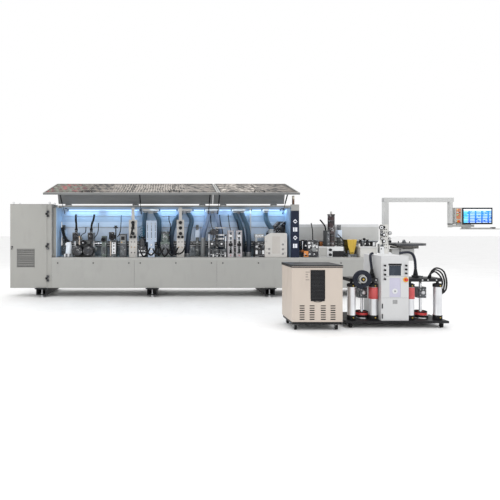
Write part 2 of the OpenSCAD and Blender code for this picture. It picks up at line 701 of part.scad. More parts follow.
module motor_y(x, y, z, d) {
    rod_y(x, y, z, d);
    rod_y(x, [y[0] - 24, y[0]], z, d - 16);
}
module trimming_unit() placed() {
    color(dark_grey) box([2900, 3240], [-400, -170], on_deck([0, 150]));
    color(near_black) {
        motor_y(2970, [-360, -180], deck_z + 250, 130);
        motor_y(3150, [-360, -180], deck_z + 250, 130);
        motor_y(3000, [-360, -180], deck_z + 470, 120);
    }
    color(pale_grey) box([3050, 3100], [-300, -180], on_deck([150, 570]));
    color(mid_grey) box([2920, 2950], [-300, -180], on_deck([150, 190]));
    color(mid_grey) box([3056, 3066], [-176, -168], on_deck([150, 540]));
    color(steel) for (z = [330, 400]) box([3100, 3230], [-330, -180], on_deck([z, z + 30]));
    color(steel) box([3000, 3050], [-300, -240], on_deck([330, 360]));
}
module corner_unit() placed() {
    // white frames that carry the corner rounding heads
    color(pale_grey) for (x = [3262, 3420]) difference() {
        box([x, x + 110], [-400, -300], on_deck([0, 500]));
        box([x + 20, x + 90], [-401, -299], on_deck([70, 300]));
        box([x + 20, x + 90], [-401, -299], on_deck([330, 470]));
    }
    color(near_black) {
        motor_y(3317, [-330, -250], deck_z + 180, 66);
        motor_y(3475, [-330, -250], deck_z + 180, 66);
        box([3372, 3420], [-390, -310], on_deck([0, 330]));
    }
    color(dark_grey) box([3262, 3380], [-250, -180], on_deck([0, 250]));
    color(dark_grey) box([3440, 3530], [-250, -180], on_deck([0, 250]));
}
module scraper_unit() placed() {
    color(steel) {
        box([1745, 1940], [-400, -394], on_deck([286, 686]));
        box([1780, 1900], [-394, -330], on_deck([0, 500]));
    }
    color([0.42, 0.46, 0.42]) {
        rod_z(2095, -290, on_deck([286, 481]), 150);
        box([2010, 2180], [-370, -210], on_deck([0, 286]));
    }
    color(near_black) {
        box([1600, 1740], [-400, -250], on_deck([0, 200]));
        rod_z(1670, -325, on_deck([200, 330]), 120);
    }
    color(mid_grey) box([1250, 1370], [-380, -180], on_deck([26, 436]));
    color(mid_grey) box([1262, 1358], [-370, -190], on_deck([0, 26]));
    // knob post with its wing
    color(dark_grey) box([1065, 1180], [-340, -160], on_deck([0, 321]));
    color(near_black) {
        rod_z(1160, -250, on_deck([321, 540]), 24);
        rod_z(1160, -250, on_deck([540, 572]), 52);
        motor_y(1105, [-360, -300], deck_z + 376, 110);
        box([1035, 1140], [-300, -280], on_deck([340, 470]));
    }
}
buff_x = [414, 696];
buff_y = -46;
buff_z = [path_z + 112, path_z - 84];
module buffing_unit() placed() {
    // dust cone
    color("white") translate([275, -260, deck_z]) cylinder(h = 278, d1 = 150, d2 = 90);
    color(near_black) {
        for (x = [355, 641]) {
            box([x, x + 109], [-330, -150], on_deck([317, 458]));
            rod_z(x + 54, -240, on_deck([458, 503]), 50);
        }
        for (x = [450, 655]) motor_y(x, [-340, -160], deck_z + 118, 200);
    }
    color(mid_grey) {
        box([355, 750], [-160, -130], on_deck([0, 300]));
        box([355, 750], [-160, -130], on_deck([300, 317]));
        for (x = [355, 641]) box([x, x + 109], [-330, -130], on_deck([300, 317]));
    }
    color(steel) difference() {
        union() {
            box([buff_x[0] - 34, buff_x[0] + 34], [-130, -70], [buff_z[0] - 30, buff_z[0] + 30]);
            box([buff_x[1] - 34, buff_x[1] + 34], [-130, -70], [buff_z[1] - 30, buff_z[1] + 30]);
            box([buff_x[0] - 34, buff_x[0] + 34], [-130, -120], [deck_z + 200, buff_z[0] - 30]);
        }
        for (i = [0, 1]) rod_y(buff_x[i], [-118, -60], buff_z[i], buff_shaft_d + 2 * shaft_gap);
    }
    color(pale_grey) rod_y(560, [-340, -160], deck_z + 270, 58);
    // cross shaft to the small end unit
    color(steel) rod_x([750, 905], -250, deck_z + 256, 30);
    color(mid_grey) {
        box([905, 990], [-330, -190], on_deck([0, 396]));
    }
}
module buff_wheel(i) {
    rod_y(buff_x[i], [-117.7, buff_y], buff_z[i], buff_shaft_d);
    rod_y(buff_x[i], [buff_y - 20, buff_y + 20], buff_z[i], buff_d);
}
module buff_wheel_upper() color([0.9, 0.88, 0.8]) placed() buff_wheel(0);
module buff_wheel_lower() color([0.9, 0.88, 0.8]) placed() buff_wheel(1);

regulators = [[1414, 1570], [2315, 2454]];
module regulator_columns() placed() for (x = regulators) {
    c = (x[0] + x[1]) / 2;
    color(cream) {
        difference() {
            box(x, [-306, -300], on_deck([0, 701]));
            for (z = [284, 186, 85], s = [-1, 1]) rod_y(c + 30 * s, [-307, -299], deck_z + z, 12);
        }
        box(x, [-300, -250], on_deck([0, 6]));
        box(about(c, 60), [-306, -300], on_deck([701, opening_h]));
        box(about(c, 60), [-300, back_y], [header_z - 10, header_z]);
    }
    color(near_black) {
        for (z = [647, 546, 443]) rod_y(c, [-346, -306], deck_z + z, 62);
        for (s = [-1, 1]) rod_y(c + 34 * s, [-346, -306], deck_z + 377, 50);
    }
}

module dust_hoses() color([0.20, 0.23, 0.27]) placed() for (route = hoses) tube(route, hose_d, hose_sides);

module duct_boxes() placed() {
    color("white") for (d = duct_x) {
        c = (d[0] + d[1]) / 2;
        box(d, [duct_y, back_y], duct_z);
        box(about(c, 90), [back_y, header_y + 2], [duct_z[0] - 38, duct_z[1]]);
        box(about(c, 150), [header_y + rest_gap, header_y + 66], [spigot_z - 72, duct_z[1]]);
        rod_y(c, [header_y + 66, header_y + 66 + spigot_l], spigot_z, spigot_d);
    }
    // collars that take the lower ends of the hoses
    color(mid_grey) for (i = [0:7]) {
        end = hoses[i][len(hoses[i]) - 1];
        rod_z(end[0], end[1], [deck_z, end[2]], hose_d);
    }
}

// ---- hoods: drawn closed about the hinge axis, then turned open ----
hood_bend = [-hood_roof, 0];
function along_front(s) = hood_bend + s * [-cos(hood_angle), -sin(hood_angle)];
function across_front(t) = t * [sin(hood_angle), -cos(hood_angle)];
module opened() translate([0, axis_y, axis_z]) rotate([-hood_open, 0, 0]) children();
module front_strip(x, s, t) along_x(x) polygon([along_front(s[0]) + across_front(t[0]),
    along_front(s[1]) + across_front(t[0]), along_front(s[1]) + across_front(t[1]),
    along_front(s[0]) + across_front(t[1])]);
function head_local() = let (d = strut_head - [axis_y, axis_z])
    [d[0] * cos(hood_open) - d[1] * sin(hood_open), d[0] * sin(hood_open) + d[1] * cos(hood_open)];
module hood(x, hinges, struts) opened() {
    difference() {
        union() {
            along_x(x) polygon([[-hood_start, 0], hood_bend, hood_bend + [0.3, -hood_t],
                [-hood_start, -hood_t]]);
            front_strip(x, [0, hood_front], [0, hood_t]);
            // lip along the lower edge, and stiffening flanges down both sides
            front_strip(x, [hood_front - 20, hood_front], [hood_t, 34]);
            for (e = [[x[0], x[0] + hood_t], [x[1] - hood_t, x[1]]])
                front_strip(e, [20, hood_front - 20], [hood_t, 40]);
            for (h = hinges) {
                rod_x(about(h, knuckle_w), 0, 0, knuckle_d);
                box(about(h, knuckle_w), [-hood_start - 30, 0], [-hood_t - 6, -hood_t]);
                box(about(h, knuckle_w), [-hood_start - 4, -4], [-hood_t, 0]);
            }
        }
        for (h = hinges) rod_x(about(h, knuckle_w + 4), 0, 0, hinge_pin_d + 2 * hinge_gap);
    }
    // strut studs and the tabs that hold them
    q = head_local();
    s = q - hood_bend;
    down = -s[0] * cos(hood_angle) - s[1] * sin(hood_angle);
    deep = s[0] * sin(hood_angle) - s[1] * cos(hood_angle);
    for (w = struts) {
        tab = [w + strut_tube_d / 2 + 2, w + strut_tube_d / 2 + 10];
        front_strip(tab, [down - 14, down + 14], [hood_t, deep + 12]);
        rod_x([w - strut_eye_w / 2 - 3, tab[0] + eps], q[0], q[1], strut_pin_d);
    }
}
module panes(x, n) opened() {
    w = (x[1] - x[0] - 2 * window_side - (n - 1) * pane_gap) / n;
    for (i = [0:n - 1]) front_strip([x[0] + window_side + i * (w + pane_gap),
        x[0] + window_side + i * (w + pane_gap) + w], [window_top, hood_front - window_bottom],
        [-window_bond - window_t, -window_bond]);
}
module left_hood() color(mid_grey) placed() hood(left_hood_x, left_hinges, left_struts);
module right_hood() color(mid_grey) placed() hood(right_hood_x, right_hinges, right_struts);
module left_windows() color(near_black) placed() panes(left_hood_x, left_panes);
module right_windows() color(near_black) placed() panes(right_hood_x, right_panes);

// gas struts: the rod stands on the frame pivot, the cylinder hangs from the hood
module on_strut(x) translate([x, strut_foot[0], strut_foot[1]]) rotate([strut_slope - 90, 0, 0]) children();
module eye(x, z) difference() {
    rod_x(about(x, strut_eye_w), 0, z, strut_eye_d);
    rod_x(about(x, strut_eye_w + 2), 0, z, strut_pin_d + 2 * hinge_gap);
}
module strut_rods(at) for (x = at) on_strut(x) {
    eye(0, 0);
    rod_z(0, 0, [strut_eye_d / 2 - 1, strut_len - strut_tube_l + strut_in], strut_rod_d);
}
module strut_cylinders(at) for (x = at) on_strut(x) {
    // the far eye clears its stud sideways: that pivot is the open one
    difference() {
        rod_z(0, 0, [strut_len - strut_tube_l, strut_len - 60], strut_tube_d);
        rod_z(0, 0, [strut_len - strut_tube_l - eps, strut_len - 72], strut_rod_d + 2 * hinge_gap);
    }
    rod_z(0, 0, [strut_len - 60, strut_len - strut_eye_d], 12);
}
module left_strut_rods() color(steel) placed() strut_rods(left_struts);
module right_strut_rods() color(steel) placed() strut_rods(right_struts);
module left_strut_cylinders() color(near_black) placed() strut_cylinders(left_struts);
module right_strut_cylinders() color(near_black) placed() strut_cylinders(right_struts);

// ---- infeed end ----
module infeed_table() at_stations() {
    color(pale_grey) {
        box([5720, 6068], [-400, -10], on_deck([180, 200]));
        box([5740, 6048], [-380, -30], on_deck([0, 180]));
    }
    color(steel) box([5724, 6066], [-20, -8], on_deck([200, 226]));
    color(near_black) {
        for (x = [5800, 5930]) {
            translate([x, -250, deck_z + 200]) cylinder(h = 70, d1 = 90, d2 = 46);
            rod_z(x, -250, on_deck([270, 300]), 60);
        }
        box([5990, 6060], [-330, -220], on_deck([200, 290]));
        rod_z(5740, -330, on_deck([200, 250]), 40);
    }
}
module tape_feeder() at_bed_end() {
    y = [-450, -330];
    color(pale_grey) {
        box([6078, 6240], [y[0] + 20, y[0] + 28], on_deck([6, 611]));
        box([6078, 6332], [y[0] + 28, y[1]], on_deck([6, 40]));
        box([6110, 6240], [y[0] + 40, y[1]], [deck_z - 120, deck_z + 6]);
    }
    color(near_black) {
        for (z = [560, 420, 300]) rod_y(6150, [y[0], y[0] + 20], deck_z + z, 50);
        for (z = [500, 350, 190]) rod_y(6195, [y[0] + 28, y[1]], deck_z + z, 64);
    }
    color(mid_grey) box([6084, 6150], [y[0] + 28, y[1]], on_deck([80, 250]));
}
tray_at = [6700, -112];
tray_z = path_z + 1;
tray_bed = [6440, 6872];
module coil_tray() at_bed_end() {
    color(pale_grey) rod_z(tray_at[0], tray_at[1], [tray_z, tray_z + 40], 2 * tray_r);
    color(near_black) rod_z(tray_at[0], tray_at[1], [tray_z - 58, tray_z - 0.1], 490);
    color(near_black) rod_z(tray_at[0], tray_at[1], [tray_z - 110, tray_z - 50], tray_pin_d);
    for (a = [0:60:300]) translate([tray_at[0], tray_at[1], tray_z + 40]) rotate([0, 0, a])
        translate([110, 0, 0]) cylinder(h = 34, d = 14);
}
support_y = [-160, -60];
module control_mast() at_bed_end() {
    color(pale_grey) {
        box([drawn_bed, mast_x], [mast_y, mast_y + mast_w], [deck_z - 170, deck_z - 50]);
        box([mast_x, mast_x + mast_w], [mast_y, mast_y + mast_w], [deck_z - 170, boom_z - rest_gap]);
    }
    color(steel) rod_z(mast_axis[0], mast_axis[1], [boom_z - 2, boom_z + 60], swivel_d);
    // bearing post of the coil tray on its arm from the bed
    color(mid_grey) difference() {
        union() {
            box([drawn_bed, tray_bed[1]], support_y, [deck_z - 80, deck_z + 10]);
            box([tray_bed[0], tray_bed[0] + 150], support_y, on_deck([10, 146]));
            box([tray_bed[0] + 170, tray_bed[1]], support_y, on_deck([10, 146]));
        }
        rod_z(tray_at[0], tray_at[1], [tray_z - 110 - rest_gap, tray_z], tray_pin_d + 2 * swivel_gap);
    }
}
module control_boom() color(pale_grey) at_bed_end() {
    difference() {
        box([mast_x, mast_x + boom_l], [mast_y, mast_y + mast_w], [boom_z, mast_top]);
        rod_z(mast_axis[0], mast_axis[1], [boom_z - eps, boom_z + 62], swivel_d + 2 * swivel_gap);
    }
    rod_z(drop_axis[0], drop_axis[1], [drop_z, boom_z], mast_w);
    rod_z(drop_axis[0], drop_axis[1], [drop_z - 60, drop_z], swivel_d);
}
module control_panel() at_bed_end() {
    y = [panel_y, panel_y + panel_t];
    z = [panel_z, panel_z + panel_h];
    xs = panel_x + button_box_w;
    color(pale_grey) difference() {
        box([panel_x, xs], y, z);
        rod_y(stop_at[0], [y[0] - eps, y[0] + 16], stop_at[1], 24.6);
    }
    color([0.85, 0.35, 0.15]) box([panel_x + 30, xs - 30], [y[0] - 2, y[0]], [z[0] + 110, z[1] - 20]);
    color(near_black) box([xs + 6, panel_x + panel_w], y, z);
    color(near_black) box([xs, xs + 6], [y[0] + 10, y[1] - 10], [z[0] + 20, z[1] - 20]);
    // swivel knuckle under the drop post and the arm to the panel
    color(pale_grey) difference() {
        union() {
            rod_z(drop_axis[0], drop_axis[1], [drop_z - 60, drop_z - rest_gap], 84);
            box([drop_axis[0], panel_x + 400], about(drop_axis[1], 50), [drop_z - 50, drop_z - 5]);
        }
        rod_z(drop_axis[0], drop_axis[1], [drop_z - 61, drop_z + 1], swivel_d + 2 * swivel_gap);
    }
    color(pale_grey) box([panel_x + 60, panel_x + 340], about(drop_axis[1], 50), [drop_z - 5, z[0]]);
    // keyboard tray
    color(near_black) box([panel_x + 150, tray_end], [y[0] - tray_out, y[1]], [drop_z - 100, drop_z - 82]);
    color(pale_grey) box([panel_x + 170, panel_x + 330], about(drop_axis[1], 50),
        [drop_z - 82, drop_z - 50]);
}
module panel_emergency_stop() color(red) at_bed_end() {
    rod_y(stop_at[0], [panel_y - 30, panel_y - 8], stop_at[1], 40);
    rod_y(stop_at[0], [panel_y - 8, panel_y + 8], stop_at[1], 24);
}

// ---- glue melter cart ----
module melter_cart() placed() {
    x = [cart_x, cart_x + cart_w];
    color(near_black) difference() {
        box(x, [cart_y, cart_y + cart_d], cart_z);
        for (s = station_x) rod_z(s, ram_y, [cart_z[0] - eps, cart_z[1] + eps], 6);
    }
    // glue drum bases
    color(dark_grey) for (s = station_x) rod_z(s, ram_y, [cart_z[1], 104], drum_d);
}
module melter_cabinet() placed() {
    z = [cart_z[1], cart_z[1] + melter_h];
    color(pale_grey) difference() {
        box(melter_x, [cart_y + 20, cart_y + 520], z);
        box([4993, 5146], [cart_y + 19, cart_y + 26], [670, 798]);
        box([5000, 5140], [cart_y + 19, cart_y + 24], [395, 640]);
        for (i = [0:3]) box([5040, 5100], [cart_y + 19, cart_y + 30], [312 + 13 * i, 318 + 13 * i]);
    }
    color(dark_grey) {
        box([4994, 5145], [cart_y + 22, cart_y + 26], [671, 797]);
        for (i = [0:3]) rod_y(4935, [cart_y + 8, cart_y + 20], 800 - 58 * i, 22);
        for (i = [0:2]) rod_y(5206, [cart_y + 8, cart_y + 20], 800 - 50 * i, 22);
    }
    color("gold") rod_y(5206, [cart_y + 14, cart_y + 20], 618, 64);
    color(red) rod_y(5206, [cart_y - 6, cart_y + 14], 618, 36);
}
module melter_cylinders() placed() for (s = [0, 1]) {
    color(steel) for (x = lift_x[s]) rod_z(x, lift_y, [151, lift_top], lift_d - 24);
    color(near_black) for (x = lift_x[s]) {
        rod_z(x, lift_y, [cart_z[1], 151], lift_d - 12);
        rod_z(x, lift_y, [lift_top, lift_top + lift_cap_h], lift_d - 12);
        rod_z(x, lift_y, [lift_top + lift_cap_h, bar_z[0]], 34);
    }
    // crossbar with the bush of the platen rod
    color(near_black) difference() {
        union() {
            box([lift_x[s][0] - 40, lift_x[s][1] + 40], [lift_y - 40, ram_y + 50], bar_z);
            // hub that the coiled hose hangs on
            if (s == 0) rod_y(coil_at[0], [cart_y, lift_y - 40 + eps], coil_at[1], coil_d[0] - 2 * rest_gap);
        }
        rod_z(station_x[s], ram_y, [bar_z[0] - eps, bar_z[1] + eps], ram_d + 2 * ram_gap);
    }
}
module melter_ram(s) {
    x = station_x[s];
    color(steel) rod_z(x, ram_y, [platen_z[1], bar_z[1] + 20], ram_d);
    color(near_black) rod_z(x, ram_y, platen_z, platen_d);
    color(red) rod_z(x, ram_y, [platen_z[1], platen_z[1] + 30], platen_d - 30);
    color(dark_grey) box(about(x, 108), about(ram_y, 90), [356, 500]);
}
module melter_left_ram() placed() melter_ram(0);
module melter_right_ram() placed() melter_ram(1);
upright_hoses = [
    [[4856, cart_y + 200, 629], [4856, cart_y + 200, 720], [4850, cart_y + 205, 800],
        [4846, cart_y + 215, 865], [4852, cart_y + 230, 912], [4868, cart_y + 240, 936],
        [4893, cart_y + 240, 944]],
    [[5434, cart_y + 200, 629], [5434, cart_y + 200, 740], [5432, cart_y + 210, 850],
        [5415, cart_y + 225, 925], [5375, cart_y + 240, 955], [5310, cart_y + 240, 955],
        [5245, cart_y + 240, 944]]];
module melter_hoses() color(near_black) placed() {
    // coiled heated hose hung on the hub of the left crossbar
    difference() {
        rod_y(coil_at[0], [cart_y + 6, cart_y + 50], coil_at[1], coil_d[1]);
        rod_y(coil_at[0], [cart_y + 5, cart_y + 51], coil_at[1], coil_d[0]);
    }
    for (route = upright_hoses) tube(route, 34, 8);
}

// ---- chiller ----
module chiller_housing() placed() {
    x = [chiller_x, chiller_x + chiller_w];
    y = [chiller_y, chiller_y + chiller_d];
    z = [chiller_z, chiller_z + chiller_h];
    color(cream) difference() {
        box(x, y, z);
        box([3945, 4119], [y[0] - eps, y[0] + 12], [367, 752]);
        for (c = [3836, 3961, 4100, 4222], i = [0:6])
            box(about(c, 60), [y[0] - eps, y[0] + 8], [134 + 28 * i, 146 + 28 * i]);
    }
    color(near_black) {
        box([x[0] - 6, x[1] + 6], [y[0] - 6, y[1] + 6], [z[1], z[1] + 31]);
        box([x[0] + 10, x[1] - 10], [y[0] + 10, y[1] - 10], [wheel_d + 18, chiller_z]);
    }
}
module chiller_grille() color(near_black) placed() difference() {
    box([3946, 4118], [chiller_y + 4, chiller_y + 12], [368, 751]);
    for (i = [0:9]) box([3958, 4106], [chiller_y + 3, chiller_y + 9], [390 + 35 * i, 406 + 35 * i]);
}
module caster(x, y, top) {
    box(about(x, 50), about(y, 50), [top - 6, top]);
    for (s = [-1, 1]) box(about(x + s * 19, 4), about(y, 30), [wheel_d / 2 - 10, top - 6]);
    rod_x(about(x, 26), y, wheel_d / 2, wheel_d);
    rod_x(about(x, 46), y, wheel_d / 2, 10);
}
module cart_casters() color(dark_grey) placed() {
    for (x = [cart_x + 70, cart_x + cart_w - 70], y = [cart_y + 50, cart_y + cart_d - 50])
        caster(x, y, cart_z[0]);
    for (x = [chiller_x + 60, chiller_x + chiller_w - 60], y = [chiller_y + 60, chiller_y + chiller_d - 60])
        caster(x, y, wheel_d + 18);
}

bed_frame();
lower_covers();
support_feet();
levelling_bolts();
uprights();
back_wall();
corner_column();
light_bars();
signal_tower();
cabinet_shell();
cabinet_door();
cabinet_hinges();
chain_track();
conveyor_chain();
drive_sprocket();
pressure_beam();
pressure_rollers();
premill_unit();
premill_cutter_1();
premill_cutter_2();
press_roller_unit();
press_roller();
glue_unit();
glue_roller();
end_trim_frame();
end_trim_saw_front();
end_trim_saw_rear();
trimming_unit();
corner_unit();
scraper_unit();
buffing_unit();
buff_wheel_upper();
buff_wheel_lower();
regulator_columns();
dust_hoses();
duct_boxes();
left_hood();
left_windows();
right_hood();
right_windows();
left_strut_rods();
left_strut_cylinders();
right_strut_rods();
right_strut_cylinders();
infeed_table();
tape_feeder();
coil_tray();
control_mast();
control_boom();
control_panel();
panel_emergency_stop();
melter_cart();
melter_cabinet();
melter_cylinders();
melter_left_ram();
melter_right_ram();
melter_hoses();
chiller_housing();
chiller_grille();
cart_casters();
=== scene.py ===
"""Looks of an edge banding machine with its control mast, glue melter cart and chiller."""
import json
import math
from functools import partial

import bmesh
import bpy
from mathutils import Matrix, Vector


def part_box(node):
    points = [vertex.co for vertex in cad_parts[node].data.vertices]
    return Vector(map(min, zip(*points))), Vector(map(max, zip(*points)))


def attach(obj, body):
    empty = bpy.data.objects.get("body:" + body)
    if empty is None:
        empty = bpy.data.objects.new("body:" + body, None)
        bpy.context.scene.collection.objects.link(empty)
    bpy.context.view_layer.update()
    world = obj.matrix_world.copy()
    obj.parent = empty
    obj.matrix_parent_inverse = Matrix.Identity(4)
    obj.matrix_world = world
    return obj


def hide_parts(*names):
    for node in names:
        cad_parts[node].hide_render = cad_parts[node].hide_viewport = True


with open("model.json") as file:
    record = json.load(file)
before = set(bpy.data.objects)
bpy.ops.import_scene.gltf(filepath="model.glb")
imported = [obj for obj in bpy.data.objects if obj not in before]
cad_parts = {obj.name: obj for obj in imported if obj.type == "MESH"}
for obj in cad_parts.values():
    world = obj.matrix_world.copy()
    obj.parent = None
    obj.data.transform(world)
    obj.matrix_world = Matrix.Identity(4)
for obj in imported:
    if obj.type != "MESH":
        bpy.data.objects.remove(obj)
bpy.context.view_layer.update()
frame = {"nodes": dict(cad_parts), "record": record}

bl_info = {
    "name": "Edge Banding Machine",
    "version": (1, 0, 0),
    "blender": (4, 5, 0),
    "location": "View3D > Sidebar > Edge Bander",
    "description": "Builds the visible pieces and finishes of an edge banding machine",
    "category": "Object",
}

# The machine's own coordinates, in millimetres: X from the left end of the bed, Y from the plane
# of the panel edge, Z from the floor. The bed's corner ties them to the scene. The builders place
# everything in them, so their plain numbers are millimetres on the machine.
APRON_PLANE = 447.0
BED_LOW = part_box("bed_frame")[0]
BED_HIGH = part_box("bed_frame")[1]
DECK = BED_HIGH[2] * 1000.0
BED_L = (BED_HIGH[0] - BED_LOW[0]) * 1000.0


# Directions in machine coordinates.
FRONT = (0, -1, 0)
UP = (0, 0, 1)


def deck(low, high):
    """Two heights over the deck, as heights over the floor."""
    return DECK + low, DECK + high


def over(x, y, z):
    """A machine point whose height is given over the deck."""
    return x, y, DECK + z


def place(x, y, z):
    """A point of the machine, in scene metres."""
    return Vector((BED_LOW[0] + x / 1000.0, BED_LOW[1] + (APRON_PLANE + y) / 1000.0, z / 1000.0))


# ---------------------------------------------------------------- node graphs
class Value:
    """A socket with arithmetic: each operator adds one Math node."""

    def __init__(self, graph, socket):
        self.graph = graph
        self.socket = socket

    def math(self, operation, *others):
        return self.graph.node("ShaderNodeMath", {"operation": operation}, self, *others)

    def __add__(self, other):
        return self.math("ADD", other)

    __radd__ = __add__

    def __sub__(self, other):
        return self.math("SUBTRACT", other)

    def __rsub__(self, other):
        return self.graph.node("ShaderNodeMath", {"operation": "SUBTRACT"}, other, self)

    def __mul__(self, other):
        return self.math("MULTIPLY", other)

    __rmul__ = __mul__

    def above(self, edge, soft=0.05):
        """0 below the edge, 1 above it, with a soft step."""
        return self.graph.node("ShaderNodeMapRange", {"interpolation_type": "SMOOTHSTEP"}, self,
                               edge - soft, edge + soft, 0.0, 1.0)

    def stripes(self, period, share):
        """1 over a share of each period, else 0."""
        return self.math("DIVIDE", period).math("FRACT").math("LESS_THAN", share)


class Graph:
    """One material's nodes around a Principled shader."""

    def __init__(self, name):
        self.material = bpy.data.materials.new(name)
        self.material.use_nodes = True
        self.tree = self.material.node_tree
        self.shader = self.tree.nodes["Principled BSDF"]
        coordinates = self.tree.nodes.new("ShaderNodeTexCoord")
        self.position = Value(self, coordinates.outputs["Object"])

    def node(self, kind, settings, *inputs, out=0):
        made = self.tree.nodes.new(kind)
        for key, value in settings.items():
            setattr(made, key, value)
        for index, value in enumerate(inputs):
            if value is not None:
                self.connect(value, made.inputs[index])
        return Value(self, made.outputs[out])

    def connect(self, value, socket):
        if isinstance(value, Value):
            self.tree.links.new(value.socket, socket)
        else:
            socket.default_value = value

    def set(self, **sockets):
        for key, value in sockets.items():
            self.connect(value, self.shader.inputs[key.replace("_", " ").title().replace("Ior", "IOR")])
        return self

    def stretched(self, scale):
        return self.node("ShaderNodeMapping", {}, self.position, None, None, scale)

    def noise(self, scale, detail=3.0, stretch=None):
        where = self.stretched(stretch) if stretch else self.position
        return self.node("ShaderNodeTexNoise", {}, where, None, scale, detail)

    def cells(self, scale, stretch=None):
        where = self.stretched(stretch) if stretch else self.position
        return self.node("ShaderNodeTexVoronoi", {}, where, None, scale)

    def split(self):
        """The three coordinates as values."""
        parts = self.tree.nodes.new("ShaderNodeSeparateXYZ")
        self.connect(self.position, parts.inputs[0])
        return [Value(self, socket) for socket in parts.outputs]

    def blend(self, factor, first, second):
        made = self.tree.nodes.new("ShaderNodeMix")
        made.data_type = "RGBA"
        self.connect(factor, made.inputs[0])
        self.connect(rgba(first), made.inputs[6])
        self.connect(rgba(second), made.inputs[7])
        return Value(self, made.outputs[2])

    def dull(self, colour):
        """Near-black surfaces throw back less light."""
        self.shader.inputs["Specular IOR Level"].default_value = 0.2 if max(colour) < 0.08 else 0.5

    def bumped(self, height, distance, strength=0.4):
        made = self.tree.nodes.new("ShaderNodeBump")
        made.inputs["Strength"].default_value = strength
        made.inputs["Distance"].default_value = distance
        self.connect(height, made.inputs["Height"])
        return Value(self, made.outputs[0])


def rgba(colour):
    if isinstance(colour, Value):
        return colour
    return (*colour, 1.0)


def shade(colour, factor):
    return tuple(min(1.0, channel * factor) for channel in colour)


# ---------------------------------------------------------------- finishes
FINISHES = {}


def finish(maker):
    """Keeps one material for each named finish."""
    def get(*args):
        key = (maker.__name__, *args)
        if key not in FINISHES:
            FINISHES[key] = maker(*args)
        return FINISHES[key]
    return get


WARM = (0.335, 0.333, 0.315)
PALE = (0.37, 0.37, 0.355)
WHITE = (0.66, 0.67, 0.68)
MID = (0.24, 0.25, 0.255)
DARK = (0.055, 0.06, 0.066)
BLACK = (0.012, 0.012, 0.014)
NAVY = (0.012, 0.018, 0.04)
SLATE = (0.010, 0.014, 0.026)
CREAM = (0.53, 0.46, 0.40)
GREEN_GREY = (0.13, 0.165, 0.15)
RED = (0.55, 0.03, 0.03)
GOLD = (0.52, 0.36, 0.07)
COPPER = (0.55, 0.22, 0.09)


@finish
def paint(name, colour, rough=0.42):
    """Powder coat: orange peel, faint clouds of tone, a few scuffs and some dust."""
    g = Graph(name)
    clouds = g.noise(1.7, 2.0)
    dust = g.noise(9.0, 4.0, (1.0, 1.0, 0.35)).above(0.62, 0.12)
    scuffs = g.noise(60.0, 3.0, (0.25, 1.0, 1.0)).above(0.735, 0.02)
    toned = g.blend(clouds, shade(colour, 0.93), shade(colour, 1.06))
    dusty = g.blend(dust * 0.22, toned, shade(colour, 0.80))
    g.set(base_color=g.blend(scuffs * 0.35, dusty, shade(colour, 0.62)))
    g.set(roughness=clouds * 0.12 + rough + dust * 0.10)
    g.set(normal=g.bumped(g.noise(420.0, 2.0), 0.0006, 0.25))
    g.dull(colour)
    return g.material


@finish
def metal(name, colour, rough=0.32, grain=(1.0, 12.0, 12.0)):
    """Machined or drawn metal: a directional grain, handling marks and dull patches."""
    g = Graph(name)
    lines = g.noise(90.0, 3.0, grain)
    patches = g.noise(6.0, 4.0)
    g.set(base_color=g.blend(patches, shade(colour, 0.78), shade(colour, 1.10)))
    g.set(roughness=lines * 0.18 + patches * 0.12 + (rough - 0.10))
    g.set(normal=g.bumped(lines, 0.0004, 0.3), metallic=1.0)
    return g.material


@finish
def plastic(name, colour, rough=0.45):
    """Moulded plastic: fine spark texture with paler rubbed areas."""
    g = Graph(name)
    rubbed = g.noise(14.0, 4.0).above(0.60, 0.10)
    g.set(base_color=g.blend(rubbed * 0.5, colour, tuple(c * 1.35 + 0.012 for c in colour)))
    g.set(roughness=rubbed * -0.10 + rough)
    g.set(normal=g.bumped(g.cells(700.0), 0.0004, 0.3))
    g.dull(colour)
    return g.material


@finish
def machine_mix(name, colour, second):
    """Motor and casting paint with oil, chips down to metal and bright edges of swarf."""
    g = Graph(name)
    blotches = g.noise(22.0, 5.0).above(0.52, 0.10)
    chips = g.cells(48.0).above(0.62, 0.04) * g.noise(13.0).above(0.55, 0.05)
    body = g.blend(blotches, colour, second)
    g.set(base_color=g.blend(chips, body, (0.42, 0.43, 0.44)))
    g.set(roughness=blotches * 0.25 + 0.30, metallic=chips)
    g.set(normal=g.bumped(blotches + g.noise(160.0), 0.001, 0.35))
    return g.material


@finish
def streaked(name, colour, rough=0.4):
    """Sheet steel with fine level streaks and a few darker wipes."""
    g = Graph(name)
    lines = g.noise(34.0, 4.0, (0.12, 6.0, 6.0))
    wipes = g.noise(5.0, 3.0, (0.3, 1.0, 1.0)).above(0.56, 0.10)
    toned = g.blend(lines, shade(colour, 0.72), shade(colour, 1.28))
    g.set(base_color=g.blend(wipes * 0.35, toned, shade(colour, 0.6)))
    g.set(roughness=lines * 0.16 + rough, normal=g.bumped(lines, 0.0005, 0.3))
    return g.material


